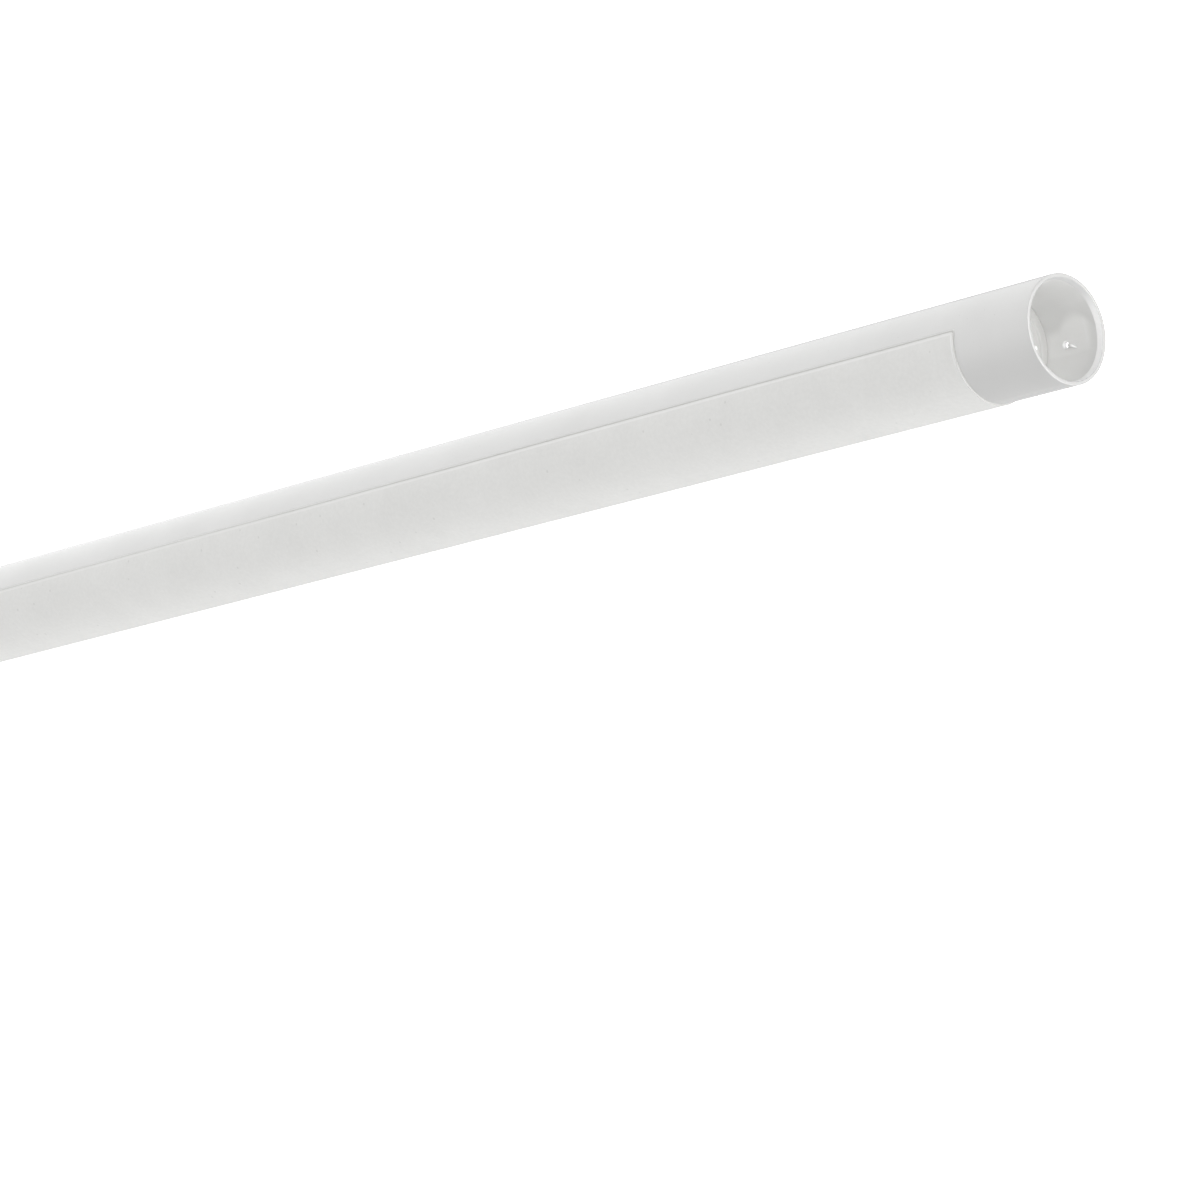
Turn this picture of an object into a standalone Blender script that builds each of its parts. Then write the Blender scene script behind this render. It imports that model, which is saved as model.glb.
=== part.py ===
"""Folding long cane for a blind walker, opened out straight and lying on its grip.

Five aluminium tubes plug into one another on tapered spigots and are held together by an
elastic cord that runs through all of them. The top tube carries a rubber grip with one flat
side. Each tube wears a strip of retroreflective film. The bottom tube ends in an open mouth:
the socket for a walking tip, with no tip in it.

Frame: metres, +Z up. The cane's axis lies along X with the open mouth towards +X. The origin
is on the floor below the middle of the cane, and the grip's flat rests on the floor.

Angles around a tube are counted from the top (+Z) towards the front (-Y).
"""

import bmesh
import bpy
from math import ceil, cos, pi, radians, sin

from mathutils import Vector

# ---- driving dimensions -------------------------------------------------------------------
TUBE_DIAMETER = 0.0127          # half-inch tube
TUBE_WALL = 0.0006
SECTION_LENGTH = 0.2200         # each tube below the handle tube
HANDLE_STUB = 0.0600            # how far the handle tube stands out of the grip
SECTION_COUNT = 5               # tubes in all
JOINT_GAP = 0.0003              # between the end faces of two tubes when they are closed

BOND_FIT = 0.00008              # radial gap of a piece pressed or bonded into a tube
RUNNING_FIT = 0.00006           # radial gap of a spigot in its liner
TOUCH_GAP = 0.0003              # between faces that rest on each other

SPIGOT_SHANK = 0.0340           # length held in the upper tube
SPIGOT_NOSE = 0.0400            # length that enters the lower tube
SPIGOT_TAPER = 0.0060           # tapered part of the nose
SPIGOT_SHOULDER = 0.0006        # how far the shoulder sits inside the upper tube
SPIGOT_LIP = 0.0011             # wall left at the tapered end
LINER_WALL = 0.0007
LINER_RECESS = 0.0006
LINER_SPARE = 0.0030            # liner length past the end of the spigot
LINER_FUNNEL = 0.0004           # chamfer at the liner's mouth

PIN_DIAMETER = 0.0024
PIN_FIT = 0.00008               # radial gap of a pin in its holes
PIN_INSET = 0.0055              # from a tube's lower end to its pin
PIN_FLUSH = 0.0001              # how far the pin's head stands below the tube's skin
PIN_ANGLE = radians(223.0)      # all pins stand in one line along the cane
TIP_HOLE_DIAMETER = 0.0010      # hole for the walking tip's retaining pin

FILM_WIDTH = 0.0254             # one-inch strip, laid along the tube
FILM_THICKNESS = 0.00015
FILM_BOND = 0.00005             # adhesive under the film
FILM_MARGIN = 0.0113            # bare tube left at each end of a section
FILM_EDGE_ANGLE = radians(32.2) # the strip's front edge, and it runs on round the bottom
FILM_FROM_GRIP = 0.0040         # bare tube between the grip and the first strip

CORD_DIAMETER = 0.0040
CORD_CLEARANCE = 0.0006         # radial gap of the cord in every bore
CRIMP_WALL = 0.0010
CRIMP_LENGTH = 0.0065
CRIMP_FIT = 0.0001
RECESS_CLEARANCE = 0.00025      # radial gap of a crimp in its recess

TIP_SOCKET_DEPTH = 0.0082       # from the mouth to the lower anchor's face
ANCHOR_WEB = 0.0070             # solid length of the lower anchor behind its recess

GRIP_LENGTH = 0.2150
GRIP_FIT = 0.0001
GRIP_FLAT_WALL = 0.0042         # rubber between the tube and the grip's flat
GRIP_TOP_WALL = 0.0062
GRIP_WAIST_WALL = 0.0052
GRIP_END_WALL = 0.0018

STRAP_HOLE_DIAMETER = 0.0064    # cross hole in the cap for a wrist strap
CAP_HOLE_WALL = 0.0022          # plastic on each side of that hole
CAP_BELOW_FLAT = 0.0008         # how much smaller the cap is than the grip's flat distance
CAP_EDGE = 0.0012               # chamfer on the cap's outer edge
CAP_SHANK = 0.0140              # length of the cap inside the handle tube
CAP_WEB = 0.0050                # solid length of the cap behind its recess

# ---- values that follow from them ---------------------------------------------------------
TUBE_RADIUS = TUBE_DIAMETER / 2
TUBE_BORE = TUBE_RADIUS - TUBE_WALL
PLUG_RADIUS = TUBE_BORE - BOND_FIT
LINER_BORE = PLUG_RADIUS - LINER_WALL
NOSE_RADIUS = LINER_BORE - RUNNING_FIT
CORD_RADIUS = CORD_DIAMETER / 2
CORD_BORE = CORD_RADIUS + CORD_CLEARANCE
CRIMP_RADIUS = CORD_RADIUS + CRIMP_FIT + CRIMP_WALL
RECESS_RADIUS = CRIMP_RADIUS + RECESS_CLEARANCE
RECESS_DEPTH = CRIMP_LENGTH + 2 * TOUCH_GAP
LINER_LENGTH = SPIGOT_NOSE + LINER_SPARE

AXIS_HEIGHT = TUBE_RADIUS + GRIP_FLAT_WALL
CAP_HEAD = STRAP_HOLE_DIAMETER + 2 * CAP_HOLE_WALL
CAP_RADIUS = AXIS_HEIGHT - CAP_BELOW_FLAT
STRAP_HOLE_X = -TOUCH_GAP - CAP_HEAD / 2

HANDLE_TUBE_LENGTH = GRIP_LENGTH + HANDLE_STUB
TUBE_LENGTHS = [HANDLE_TUBE_LENGTH] + [SECTION_LENGTH] * (SECTION_COUNT - 1)
OVERALL = CAP_HEAD + TOUCH_GAP + sum(TUBE_LENGTHS) + JOINT_GAP * (SECTION_COUNT - 1)
HANDLE_START = -OVERALL / 2 + CAP_HEAD + TOUCH_GAP

SIDES = 40                      # facets round a tube
SMALL_SIDES = 20                # facets round a pin, hole or crimp
CORD_BEVEL = 2
CORD_POINT_SPACING = 0.050
SHARP_ANGLE = radians(35.0)


# ---- materials ----------------------------------------------------------------------------
def material(name, colour, roughness, metallic=0.0):
    """Return a Principled material with one colour (linear RGB)."""
    result = bpy.data.materials.new(name)
    result.use_nodes = True
    shader = result.node_tree.nodes["Principled BSDF"]
    shader.inputs["Base Color"].default_value = (*colour, 1.0)
    shader.inputs["Roughness"].default_value = roughness
    shader.inputs["Metallic"].default_value = metallic
    result.diffuse_color = (*colour, 1.0)
    return result


def make_materials():
    """Return the cane's finishes by name."""
    return {
        "tube": material("white_anodised_aluminium", (0.72, 0.73, 0.73), 0.32, 0.25),
        "film": material("retroreflective_film", (0.80, 0.80, 0.79), 0.55),
        "spigot": material("turned_aluminium", (0.62, 0.63, 0.64), 0.34, 1.0),
        "liner": material("acetal_liner", (0.80, 0.79, 0.76), 0.42),
        "pin": material("stainless_pin", (0.55, 0.55, 0.56), 0.28, 1.0),
        "cord": material("elastic_cord", (0.78, 0.78, 0.76), 0.85),
        "crimp": material("aluminium_crimp", (0.58, 0.58, 0.60), 0.36, 1.0),
        "plastic": material("white_nylon", (0.76, 0.76, 0.74), 0.45),
        "grip": material("black_rubber", (0.025, 0.025, 0.027), 0.72),
        "cap": material("black_nylon", (0.030, 0.030, 0.032), 0.48),
    }


# ---- shape helpers ------------------------------------------------------------------------
def around(radius, angle):
    """Return (y, z) at this angle, counted from the top towards the front."""
    return -radius * sin(angle), radius * cos(angle)


def finish(name, mesh_data, finish_material, parent):
    """Put a bmesh into a named object under its section's empty."""
    bmesh.ops.recalc_face_normals(mesh_data, faces=mesh_data.faces)
    mesh = bpy.data.meshes.new(name)
    mesh_data.to_mesh(mesh)
    mesh_data.free()
    mesh.shade_smooth()
    mesh.set_sharp_from_angle(angle=SHARP_ANGLE)
    mesh.materials.append(finish_material)
    result = bpy.data.objects.new(name, mesh)
    bpy.context.collection.objects.link(result)
    result.parent = parent
    return result


def turned(name, profile, finish_material, parent, sides=SIDES):
    """Spin a closed profile of (x, radius) points about the cane's axis."""
    shape = bmesh.new()
    points = [shape.verts.new((x, 0.0, radius)) for x, radius in profile]
    edges = [shape.edges.new((points[i - 1], points[i])) for i in range(len(points))]
    bmesh.ops.spin(
        shape, geom=points + edges, cent=(0, 0, 0), axis=(1, 0, 0),
        angle=2 * pi, steps=sides, use_merge=True,
    )
    return finish(name, shape, finish_material, parent)


def cylinder(name, start, end, radius, finish_material, parent, sides=SMALL_SIDES):
    """Make a plain round bar between two points."""
    shape = bmesh.new()
    bmesh.ops.create_cone(
        shape, cap_ends=True, segments=sides, radius1=radius, radius2=radius,
        depth=(end - start).length,
    )
    turn = (end - start).to_track_quat("Z", "Y").to_matrix()
    bmesh.ops.rotate(shape, verts=shape.verts, matrix=turn)
    bmesh.ops.translate(shape, verts=shape.verts, vec=(start + end) / 2)
    return finish(name, shape, finish_material, parent)


def cut(target, cutter):
    """Subtract a hidden cutter from an object with a live Boolean."""
    cutter.hide_render = True
    cutter.display_type = "WIRE"
    boolean = target.modifiers.new(cutter.name, "BOOLEAN")
    boolean.operation = "DIFFERENCE"
    boolean.solver = "EXACT"
    boolean.object = cutter


def radial_bar(name, x, inner, outer, radius, finish_material, parent):
    """Make a round bar along the pin line's radius at x."""
    start = Vector((x, *around(inner, PIN_ANGLE)))
    end = Vector((x, *around(outer, PIN_ANGLE)))
    return cylinder(name, start, end, radius, finish_material, parent)


def section_empty(name, x, parent):
    """Make an empty on the cane's axis at x, the origin of one section."""
    empty = bpy.data.objects.new(name, None)
    bpy.context.collection.objects.link(empty)
    empty.parent = parent
    empty.location = (x, 0, AXIS_HEIGHT) if parent is None else (x, 0, 0)
    return empty


# ---- sub-parts ----------------------------------------------------------------------------
def make_tube(number, length, finishes, parent):
    """One tube of the cane, from its upper end at x = 0."""
    profile = [(0, TUBE_RADIUS), (length, TUBE_RADIUS), (length, TUBE_BORE), (0, TUBE_BORE)]
    return turned(f"tube_{number}", profile, finishes["tube"], parent)


def make_film(number, start, end, finishes, parent):
    """The strip of film laid along a tube: a thin arc, carried from start to end."""
    inner = TUBE_RADIUS + FILM_BOND
    outer = inner + FILM_THICKNESS
    span = FILM_WIDTH / TUBE_RADIUS
    steps = ceil(span / (2 * pi / SIDES))
    shape = bmesh.new()
    columns = []
    for step in range(steps + 1):
        angle = FILM_EDGE_ANGLE + span * step / steps
        corners = [(start, inner), (start, outer), (end, outer), (end, inner)]
        columns.append([shape.verts.new((x, *around(r, angle))) for x, r in corners])
    for left, right in zip(columns, columns[1:]):
        for i in range(4):
            shape.faces.new((left[i - 1], left[i], right[i], right[i - 1]))
    shape.faces.new(columns[0])
    shape.faces.new(columns[-1])
    return finish(f"film_{number}", shape, finishes["film"], parent)


def make_spigot(number, length, finishes, parent):
    """The stepped spigot fixed in a tube's lower end, its nose standing out of it."""
    shoulder = length - SPIGOT_SHOULDER
    tip = length + JOINT_GAP + SPIGOT_NOSE
    profile = [
        (length - SPIGOT_SHANK, PLUG_RADIUS),
        (shoulder, PLUG_RADIUS),
        (shoulder, NOSE_RADIUS),
        (tip - SPIGOT_TAPER, NOSE_RADIUS),
        (tip, CORD_BORE + SPIGOT_LIP),
        (tip, CORD_BORE),
        (length - SPIGOT_SHANK, CORD_BORE),
    ]
    return turned(f"spigot_{number}", profile, finishes["spigot"], parent)


def make_pin(number, tube, spigot, length, finishes, parent):
    """The pin that holds a spigot in its tube, and the hole through both for it."""
    x = length - PIN_INSET
    hole = radial_bar(
        f"pin_hole_{number}", x, CORD_BORE - TOUCH_GAP, TUBE_RADIUS + PIN_DIAMETER,
        PIN_DIAMETER / 2 + PIN_FIT, finishes["pin"], parent,
    )
    cut(tube, hole)
    cut(spigot, hole)
    radial_bar(
        f"spigot_pin_{number}", x, CORD_BORE + TOUCH_GAP, TUBE_RADIUS - PIN_FLUSH,
        PIN_DIAMETER / 2, finishes["pin"], parent,
    )


def make_liner(number, finishes, parent):
    """The plastic sleeve in a tube's upper end that the spigot above slides in."""
    start = LINER_RECESS
    profile = [
        (start, PLUG_RADIUS),
        (start + LINER_LENGTH, PLUG_RADIUS),
        (start + LINER_LENGTH, LINER_BORE),
        (start + LINER_FUNNEL, LINER_BORE),
        (start, LINER_BORE + LINER_FUNNEL),
    ]
    turned(f"socket_liner_{number}", profile, finishes["liner"], parent)


def make_crimp(name, start, finishes, parent):
    """The crimped ferrule on one end of the elastic cord."""
    inner = CORD_RADIUS + CRIMP_FIT
    profile = [
        (start, CRIMP_RADIUS), (start + CRIMP_LENGTH, CRIMP_RADIUS),
        (start + CRIMP_LENGTH, inner), (start, inner),
    ]
    turned(name, profile, finishes["crimp"], parent, SMALL_SIDES)


def make_grip(finishes, parent):
    """The rubber grip: a turned shape whose underside is cut flat for the forefinger."""
    stations = [
        (0.0000, GRIP_TOP_WALL),
        (0.0300, GRIP_TOP_WALL),
        (0.0900, GRIP_WAIST_WALL),
        (0.8000, GRIP_WAIST_WALL),
        (0.9500, (GRIP_WAIST_WALL + GRIP_END_WALL) / 2),
        (1.0000, GRIP_END_WALL),
    ]
    shape = bmesh.new()
    loops = []
    for share, wall in stations:
        loops.append(grip_loop(shape, share * GRIP_LENGTH, TUBE_RADIUS + wall))
    for x in (GRIP_LENGTH, 0.0):
        loops.append(grip_loop(shape, x, TUBE_RADIUS + GRIP_FIT))
    for index, loop in enumerate(loops):
        bmesh.ops.bridge_loops(shape, edges=loops[index - 1] + loop)
    finish("grip", shape, finishes["grip"], parent)


def grip_loop(shape, x, radius):
    """Add one cross-section of the grip, no lower than its flat."""
    points = []
    for step in range(SIDES):
        y, z = around(radius, 2 * pi * step / SIDES)
        points.append(shape.verts.new((x, y, max(z, -AXIS_HEIGHT))))
    return [shape.edges.new((points[i - 1], points[i])) for i in range(SIDES)]


def make_cap(finishes, parent):
    """The cap in the top of the handle tube: the cord's upper anchor, with a strap hole."""
    outer = -TOUCH_GAP - CAP_HEAD
    floor = CAP_SHANK - CAP_WEB
    profile = [
        (outer, CAP_RADIUS - CAP_EDGE),
        (outer + CAP_EDGE, CAP_RADIUS),
        (-TOUCH_GAP, CAP_RADIUS),
        (-TOUCH_GAP, PLUG_RADIUS),
        (CAP_SHANK, PLUG_RADIUS),
        (CAP_SHANK, CORD_BORE),
        (floor, CORD_BORE),
        (floor, RECESS_RADIUS),
        (outer, RECESS_RADIUS),
    ]
    cap = turned("grip_cap", profile, finishes["cap"], parent)
    reach = Vector((0, 2 * CAP_RADIUS, 0))
    centre = Vector((STRAP_HOLE_X, 0, 0))
    hole = cylinder(
        "strap_hole", centre - reach, centre + reach, STRAP_HOLE_DIAMETER / 2,
        finishes["cap"], parent,
    )
    cut(cap, hole)
    make_crimp("upper_crimp", floor - TOUCH_GAP - CRIMP_LENGTH, finishes, parent)
    return floor - TOUCH_GAP - CRIMP_LENGTH


def make_lower_anchor(length, finishes, parent):
    """The plug behind the mouth that holds the cord's lower end."""
    face = length - TIP_SOCKET_DEPTH
    floor = face - RECESS_DEPTH
    back = floor - ANCHOR_WEB
    profile = [
        (back, PLUG_RADIUS), (face, PLUG_RADIUS), (face, RECESS_RADIUS),
        (floor, RECESS_RADIUS), (floor, CORD_BORE), (back, CORD_BORE),
    ]
    turned("lower_anchor", profile, finishes["plastic"], parent)
    make_crimp("lower_crimp", floor + TOUCH_GAP, finishes, parent)
    return floor + TOUCH_GAP + CRIMP_LENGTH


def make_tip_hole(tube, length, finishes, parent):
    """The small hole near the mouth for the walking tip's retaining pin."""
    hole = radial_bar(
        "tip_pin_hole", length - PIN_INSET, TUBE_BORE - TUBE_WALL, TUBE_RADIUS + TUBE_WALL,
        TIP_HOLE_DIAMETER / 2, finishes["pin"], parent,
    )
    cut(tube, hole)


def make_cord(start, end, finishes, parent):
    """The elastic cord, straight through every tube on the cane's axis."""
    count = ceil((end - start) / CORD_POINT_SPACING) + 1
    curve = bpy.data.curves.new("elastic_cord", "CURVE")
    curve.dimensions = "3D"
    curve.bevel_depth = CORD_RADIUS
    curve.bevel_resolution = CORD_BEVEL
    curve.use_fill_caps = True
    spline = curve.splines.new("POLY")
    spline.points.add(count - 1)
    for index, point in enumerate(spline.points):
        point.co = (start + (end - start) * index / (count - 1), 0, 0, 1)
    curve.materials.append(finishes["cord"])
    cord = bpy.data.objects.new("elastic_cord", curve)
    bpy.context.collection.objects.link(cord)
    cord.parent = parent


# ---- the cane -----------------------------------------------------------------------------
def make_section(number, start, finishes, parent):
    """Everything on one tube but its fittings at the cane's two ends."""
    length = TUBE_LENGTHS[number - 1]
    empty = section_empty(f"section_{number}_axis", start, parent)
    tube = make_tube(number, length, finishes, empty)
    film_start = GRIP_LENGTH + FILM_FROM_GRIP if number == 1 else FILM_MARGIN
    make_film(number, film_start, length - FILM_MARGIN, finishes, empty)
    if number > 1:
        make_liner(number, finishes, empty)
    if number < SECTION_COUNT:
        spigot = make_spigot(number, length, finishes, empty)
        make_pin(number, tube, spigot, length, finishes, empty)
    return empty, tube


def build():
    """Build the cane from its grip to its mouth."""
    finishes = make_materials()
    handle, tube = make_section(1, HANDLE_START, finishes, None)
    make_grip(finishes, handle)
    cord_start = make_cap(finishes, handle)
    parent = handle
    for number in range(2, SECTION_COUNT + 1):
        step = TUBE_LENGTHS[number - 2] + JOINT_GAP
        parent, tube = make_section(number, step, finishes, parent)
    cord_end = make_lower_anchor(SECTION_LENGTH, finishes, parent)
    make_tip_hole(tube, SECTION_LENGTH, finishes, parent)
    last_start = sum(TUBE_LENGTHS[:-1]) + JOINT_GAP * (SECTION_COUNT - 1)
    make_cord(cord_start, last_start + cord_end, finishes, handle)


for old in list(bpy.data.objects):
    bpy.data.objects.remove(old)
build()
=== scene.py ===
"""Looks of a folding white cane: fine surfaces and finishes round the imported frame.

The cane lies along X with its open lower end towards +X. Every turned shape is worked out in
(x, radius, angle): angles are counted round the cane's axis from the top towards the front (-Y).
Lengths are metres; the constant MM turns a size given in millimetres into metres.
"""
import logging
import math
from dataclasses import dataclass
from enum import Enum, IntEnum

import bmesh
import bpy
import numpy as np
from mathutils import Matrix, Vector


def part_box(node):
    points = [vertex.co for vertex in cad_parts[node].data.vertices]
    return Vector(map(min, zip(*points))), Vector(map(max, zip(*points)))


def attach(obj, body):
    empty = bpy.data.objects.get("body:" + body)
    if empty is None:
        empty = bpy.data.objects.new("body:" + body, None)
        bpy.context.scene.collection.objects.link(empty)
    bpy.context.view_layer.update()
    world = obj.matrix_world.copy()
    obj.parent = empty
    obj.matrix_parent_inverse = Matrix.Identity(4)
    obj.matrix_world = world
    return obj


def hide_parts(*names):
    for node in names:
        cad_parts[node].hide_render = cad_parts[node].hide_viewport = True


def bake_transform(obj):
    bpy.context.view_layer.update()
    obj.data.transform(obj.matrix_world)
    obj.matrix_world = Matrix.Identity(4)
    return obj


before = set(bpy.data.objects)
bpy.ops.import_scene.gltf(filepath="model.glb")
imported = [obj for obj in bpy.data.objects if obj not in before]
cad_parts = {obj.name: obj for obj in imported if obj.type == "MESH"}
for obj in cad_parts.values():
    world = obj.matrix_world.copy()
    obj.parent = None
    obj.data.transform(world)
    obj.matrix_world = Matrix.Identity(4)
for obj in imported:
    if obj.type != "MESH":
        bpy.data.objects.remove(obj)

LOG = logging.getLogger("white_cane")
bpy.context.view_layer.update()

MM = 0.001
TURN = 2 * math.pi
WELD = 0.0000005
SHARP_ANGLE = math.radians(32.0)
SECTIONS = (1, 2, 3, 4, 5)
BODIES = ("handle", "section_2", "section_3", "section_4", "tip_section")

Array = np.ndarray
Material = bpy.types.Material
Node = bpy.types.Node
Object = bpy.types.Object
Socket = bpy.types.NodeSocket
Tree = bpy.types.NodeTree


# ==== places read from the frame ============================================================
def span(node: str) -> tuple[float, float, float]:
    """Return where a node that is turned about the cane's axis lies.

    Args:
        node: The node's name.

    Returns:
        Its start and end along X, and its outer radius.
    """
    low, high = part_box(node)
    return low.x, high.x, (high.z - low.z) / 2


AXIS_HEIGHT = sum(corner.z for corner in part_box("tube_1")) / 2
TUBE_RADIUS = span("tube_1")[2]
TUBE_WALL = 0.6 * MM
TUBE_BORE = TUBE_RADIUS - TUBE_WALL
PIN_ANGLE = math.radians(223.0)
PIN_INSET = 5.5 * MM
FILM_EDGE_ANGLE = math.radians(32.2)
FILM_WIDTH = 25.4 * MM


# ==== grids and welded meshes ===============================================================
def on_axis(x: Array, radius: Array, angle: Array) -> Array:
    """Turn (x, radius, angle) round the cane's axis into points.

    The point at an angle a is (x, -r sin a, height + r cos a).

    Args:
        x: Places along the cane.
        radius: Distances from the axis.
        angle: Angles from the top towards the front, in radians.

    Returns:
        Points, with the shape that the three arguments share and a last axis of three.
    """
    x, radius, angle = np.broadcast_arrays(x, radius, angle)
    y = -radius * np.sin(angle)
    z = AXIS_HEIGHT + radius * np.cos(angle)
    return np.stack([x, y, z], axis=-1)


def smooth(low: float, high: float, value: Array) -> Array:
    """Rise from 0 at low to 1 at high along the cubic 3t^2 - 2t^3."""
    t = np.clip((value - low) / (high - low), 0.0, 1.0)
    return t * t * (3.0 - 2.0 * t)


@dataclass
class Patch:
    """One grid of points, the finish of its faces, and a mark that its material may read."""

    points: Array
    close_rows: bool = False
    close_columns: bool = False
    finish: int = 0
    mark: Array | None = None
    keep: Array | None = None

    def faces(self) -> Array:
        """Return the grid's quads as rows of four point numbers.

        Quad (i, j) joins points (i, j), (i, j+1), (i+1, j+1) and (i+1, j); a closed direction
        runs on from its last line to its first.

        Returns:
            Rows of four point numbers, one row for each quad.
        """
        rows, columns = self.points.shape[:2]
        numbers = np.arange(rows * columns).reshape(rows, columns)
        if self.close_rows:
            numbers = np.vstack([numbers, numbers[:1]])
        if self.close_columns:
            numbers = np.hstack([numbers, numbers[:, :1]])
        corners = (numbers[:-1, :-1], numbers[:-1, 1:], numbers[1:, 1:], numbers[1:, :-1])
        quads = np.stack(corners, axis=-1)
        if self.keep is not None:
            return quads[self.keep]
        return quads.reshape(-1, 4)

    def marks(self) -> Array:
        """Return one mark per point, zero where none was given.

        Returns:
            One number for each point, in the grid's order.
        """
        count = self.points.shape[0] * self.points.shape[1]
        if self.mark is None:
            return np.zeros(count)
        return np.broadcast_to(self.mark, self.points.shape[:2]).reshape(-1)


def assemble(name: str, patches: list[Patch], finishes: list[Material],
             sharp: float = SHARP_ANGLE) -> Object:
    """Join patches into one welded mesh whose faces point outwards.

    Args:
        name: The piece's name.
        patches: Grids that share their edge points.
        finishes: Materials, in the order that the patches' finish numbers mean.
        sharp: Edges that turn further than this stay sharp.

    Returns:
        The new object, at the origin.
    """
    coordinates = np.concatenate([p.points.reshape(-1, 3) for p in patches])
    marks = np.concatenate([p.marks() for p in patches])
    quads, slots, start = [], [], 0
    for patch in patches:
        found = patch.faces() + start
        quads.append(found)
        slots.append(np.full(len(found), int(patch.finish)))
        start += patch.points.shape[0] * patch.points.shape[1]
    quads, slots = np.concatenate(quads), np.concatenate(slots)

    mesh = bpy.data.meshes.new(name)
    mesh.vertices.add(len(coordinates))
    mesh.vertices.foreach_set("co", coordinates.astype(np.float32).ravel())
    mesh.loops.add(quads.size)
    mesh.loops.foreach_set("vertex_index", quads.astype(np.int32).ravel())
    mesh.polygons.add(len(quads))
    mesh.polygons.foreach_set("loop_start", np.arange(0, quads.size, 4, dtype=np.int32))
    mesh.polygons.foreach_set("material_index", slots.astype(np.int32))
    mark = mesh.attributes.new("mark", "FLOAT", "CORNER")
    mark.data.foreach_set("value", marks[quads.ravel()].astype(np.float32))
    mesh.update(calc_edges=True)
    weld(mesh)
    mesh.shade_smooth()
    mesh.set_sharp_from_angle(angle=sharp)
    for finish in finishes:
        mesh.materials.append(finish)
    piece = bpy.data.objects.new(name, mesh)
    bpy.context.scene.collection.objects.link(piece)
    return piece


def weld(mesh: bpy.types.Mesh) -> None:
    """Merge the points that patches share and turn every face outwards.

    Args:
        mesh: The mesh to close, changed in place.
    """
    work = bmesh.new()
    work.from_mesh(mesh)
    bmesh.ops.remove_doubles(work, verts=work.verts, dist=WELD)
    bmesh.ops.recalc_face_normals(work, faces=work.faces)
    work.to_mesh(mesh)
    work.free()


def eased(corners: list[tuple[float, float]], easing: float, steps: int = 4) -> Array:
    """Round the corners of a closed outline.

    Each corner is replaced by the quadratic curve that leaves one side and joins the next,
    easing away from the corner or at 0.45 of a shorter side.

    Args:
        corners: The outline's (x, radius) corners, in order.
        easing: How far from each corner the rounding starts.
        steps: Points on each rounded corner.

    Returns:
        The rounded outline as rows of (x, radius).
    """
    here = np.array(corners, float)
    before, after = np.roll(here, 1, axis=0) - here, np.roll(here, -1, axis=0) - here
    starts, ends = [], []
    for side, kept in ((before, starts), (after, ends)):
        length = np.linalg.norm(side, axis=1, keepdims=True)
        kept.append(here + side / length * np.minimum(easing, 0.45 * length))
    t = np.linspace(0, 1, steps)[None, :, None]
    curve = ((1 - t) ** 2 * starts[0][:, None] + 2 * t * (1 - t) * here[:, None]
             + t ** 2 * ends[0][:, None])
    return curve.reshape(-1, 2)


def turned(name: str, outline: Array, finishes: list[Material],
           sides: int = 96, ripple: Array | float = 0.0) -> Object:
    """Spin a closed outline of (x, radius) about the cane's axis.

    Args:
        name: The piece's name.
        outline: Rows of (x, radius).
        finishes: The piece's materials.
        sides: Steps round the axis.
        ripple: Added to the radius; one value, or one for each outline point and step.

    Returns:
        The new object.
    """
    angles = np.arange(sides) * TURN / sides
    radius = outline[:, 1:2] + ripple
    points = on_axis(outline[:, 0:1], radius, angles[None, :])
    return assemble(name, [Patch(points, close_rows=True, close_columns=True)], finishes)


def lines_between(places: list[float], step: float) -> Array:
    """Return the places and enough more between them that no gap is longer than step.

    Args:
        places: Places in rising order that the result keeps.
        step: The widest gap allowed.

    Returns:
        All the places, in rising order.
    """
    runs = []
    for low, high in zip(places, places[1:]):
        count = max(1, math.ceil((high - low) / step))
        runs.append(np.linspace(low, high, count, endpoint=False))
    return np.concatenate([*runs, [places[-1]]])


# ==== materials =============================================================================
def linear(hex_colour: str) -> tuple[float, float, float, float]:
    """Turn an sRGB colour written #RRGGBB into linear RGB with alpha 1.

    Args:
        hex_colour: The colour.

    Returns:
        Red, green, blue and alpha.
    """
    channels = [int(hex_colour[i:i + 2], 16) / 255 for i in (1, 3, 5)]
    low = [c / 12.92 if c <= 0.04045 else ((c + 0.055) / 1.055) ** 2.4 for c in channels]
    return (*low, 1.0)


def add(tree: Tree, kind: str, settings: dict | None = None,
        **inputs: object) -> Node:
    """Add one node with its settings, and fill or link its inputs.

    Args:
        tree: The node tree.
        kind: The node's type.
        settings: Properties of the node.
        **inputs: Inputs by name, with _ for a space, or by number as i0, i1 and so on; a
            socket is linked and anything else is the input's value.

    Returns:
        The new node.
    """
    made = tree.nodes.new(kind)
    for key, value in (settings or {}).items():
        setattr(made, key, value)
    for key, value in inputs.items():
        numbered = key[0] == "i" and key[1:].isdigit()
        socket = made.inputs[int(key[1:])] if numbered else made.inputs[key.replace("_", " ")]
        if isinstance(value, Socket):
            tree.links.new(value, socket)
        else:
            socket.default_value = value
    return made


def ramp(tree: Tree, factor: Socket,
         stops: list[tuple[float, str]]) -> Socket:
    """Add a colour ramp of (place, hex colour) stops and return its colour.

    Args:
        tree: The node tree.
        factor: What the ramp reads.
        stops: Places from 0 to 1, each with its colour.

    Returns:
        The ramp's colour socket.
    """
    made = add(tree, "ShaderNodeValToRGB", Fac=factor)
    elements = made.color_ramp.elements
    while len(elements) > 1:
        elements.remove(elements[-1])
    elements[0].position, elements[0].color = stops[0][0], linear(stops[0][1])
    for place, colour in stops[1:]:
        elements.new(place).color = linear(colour)
    return made.outputs["Color"]


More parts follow.
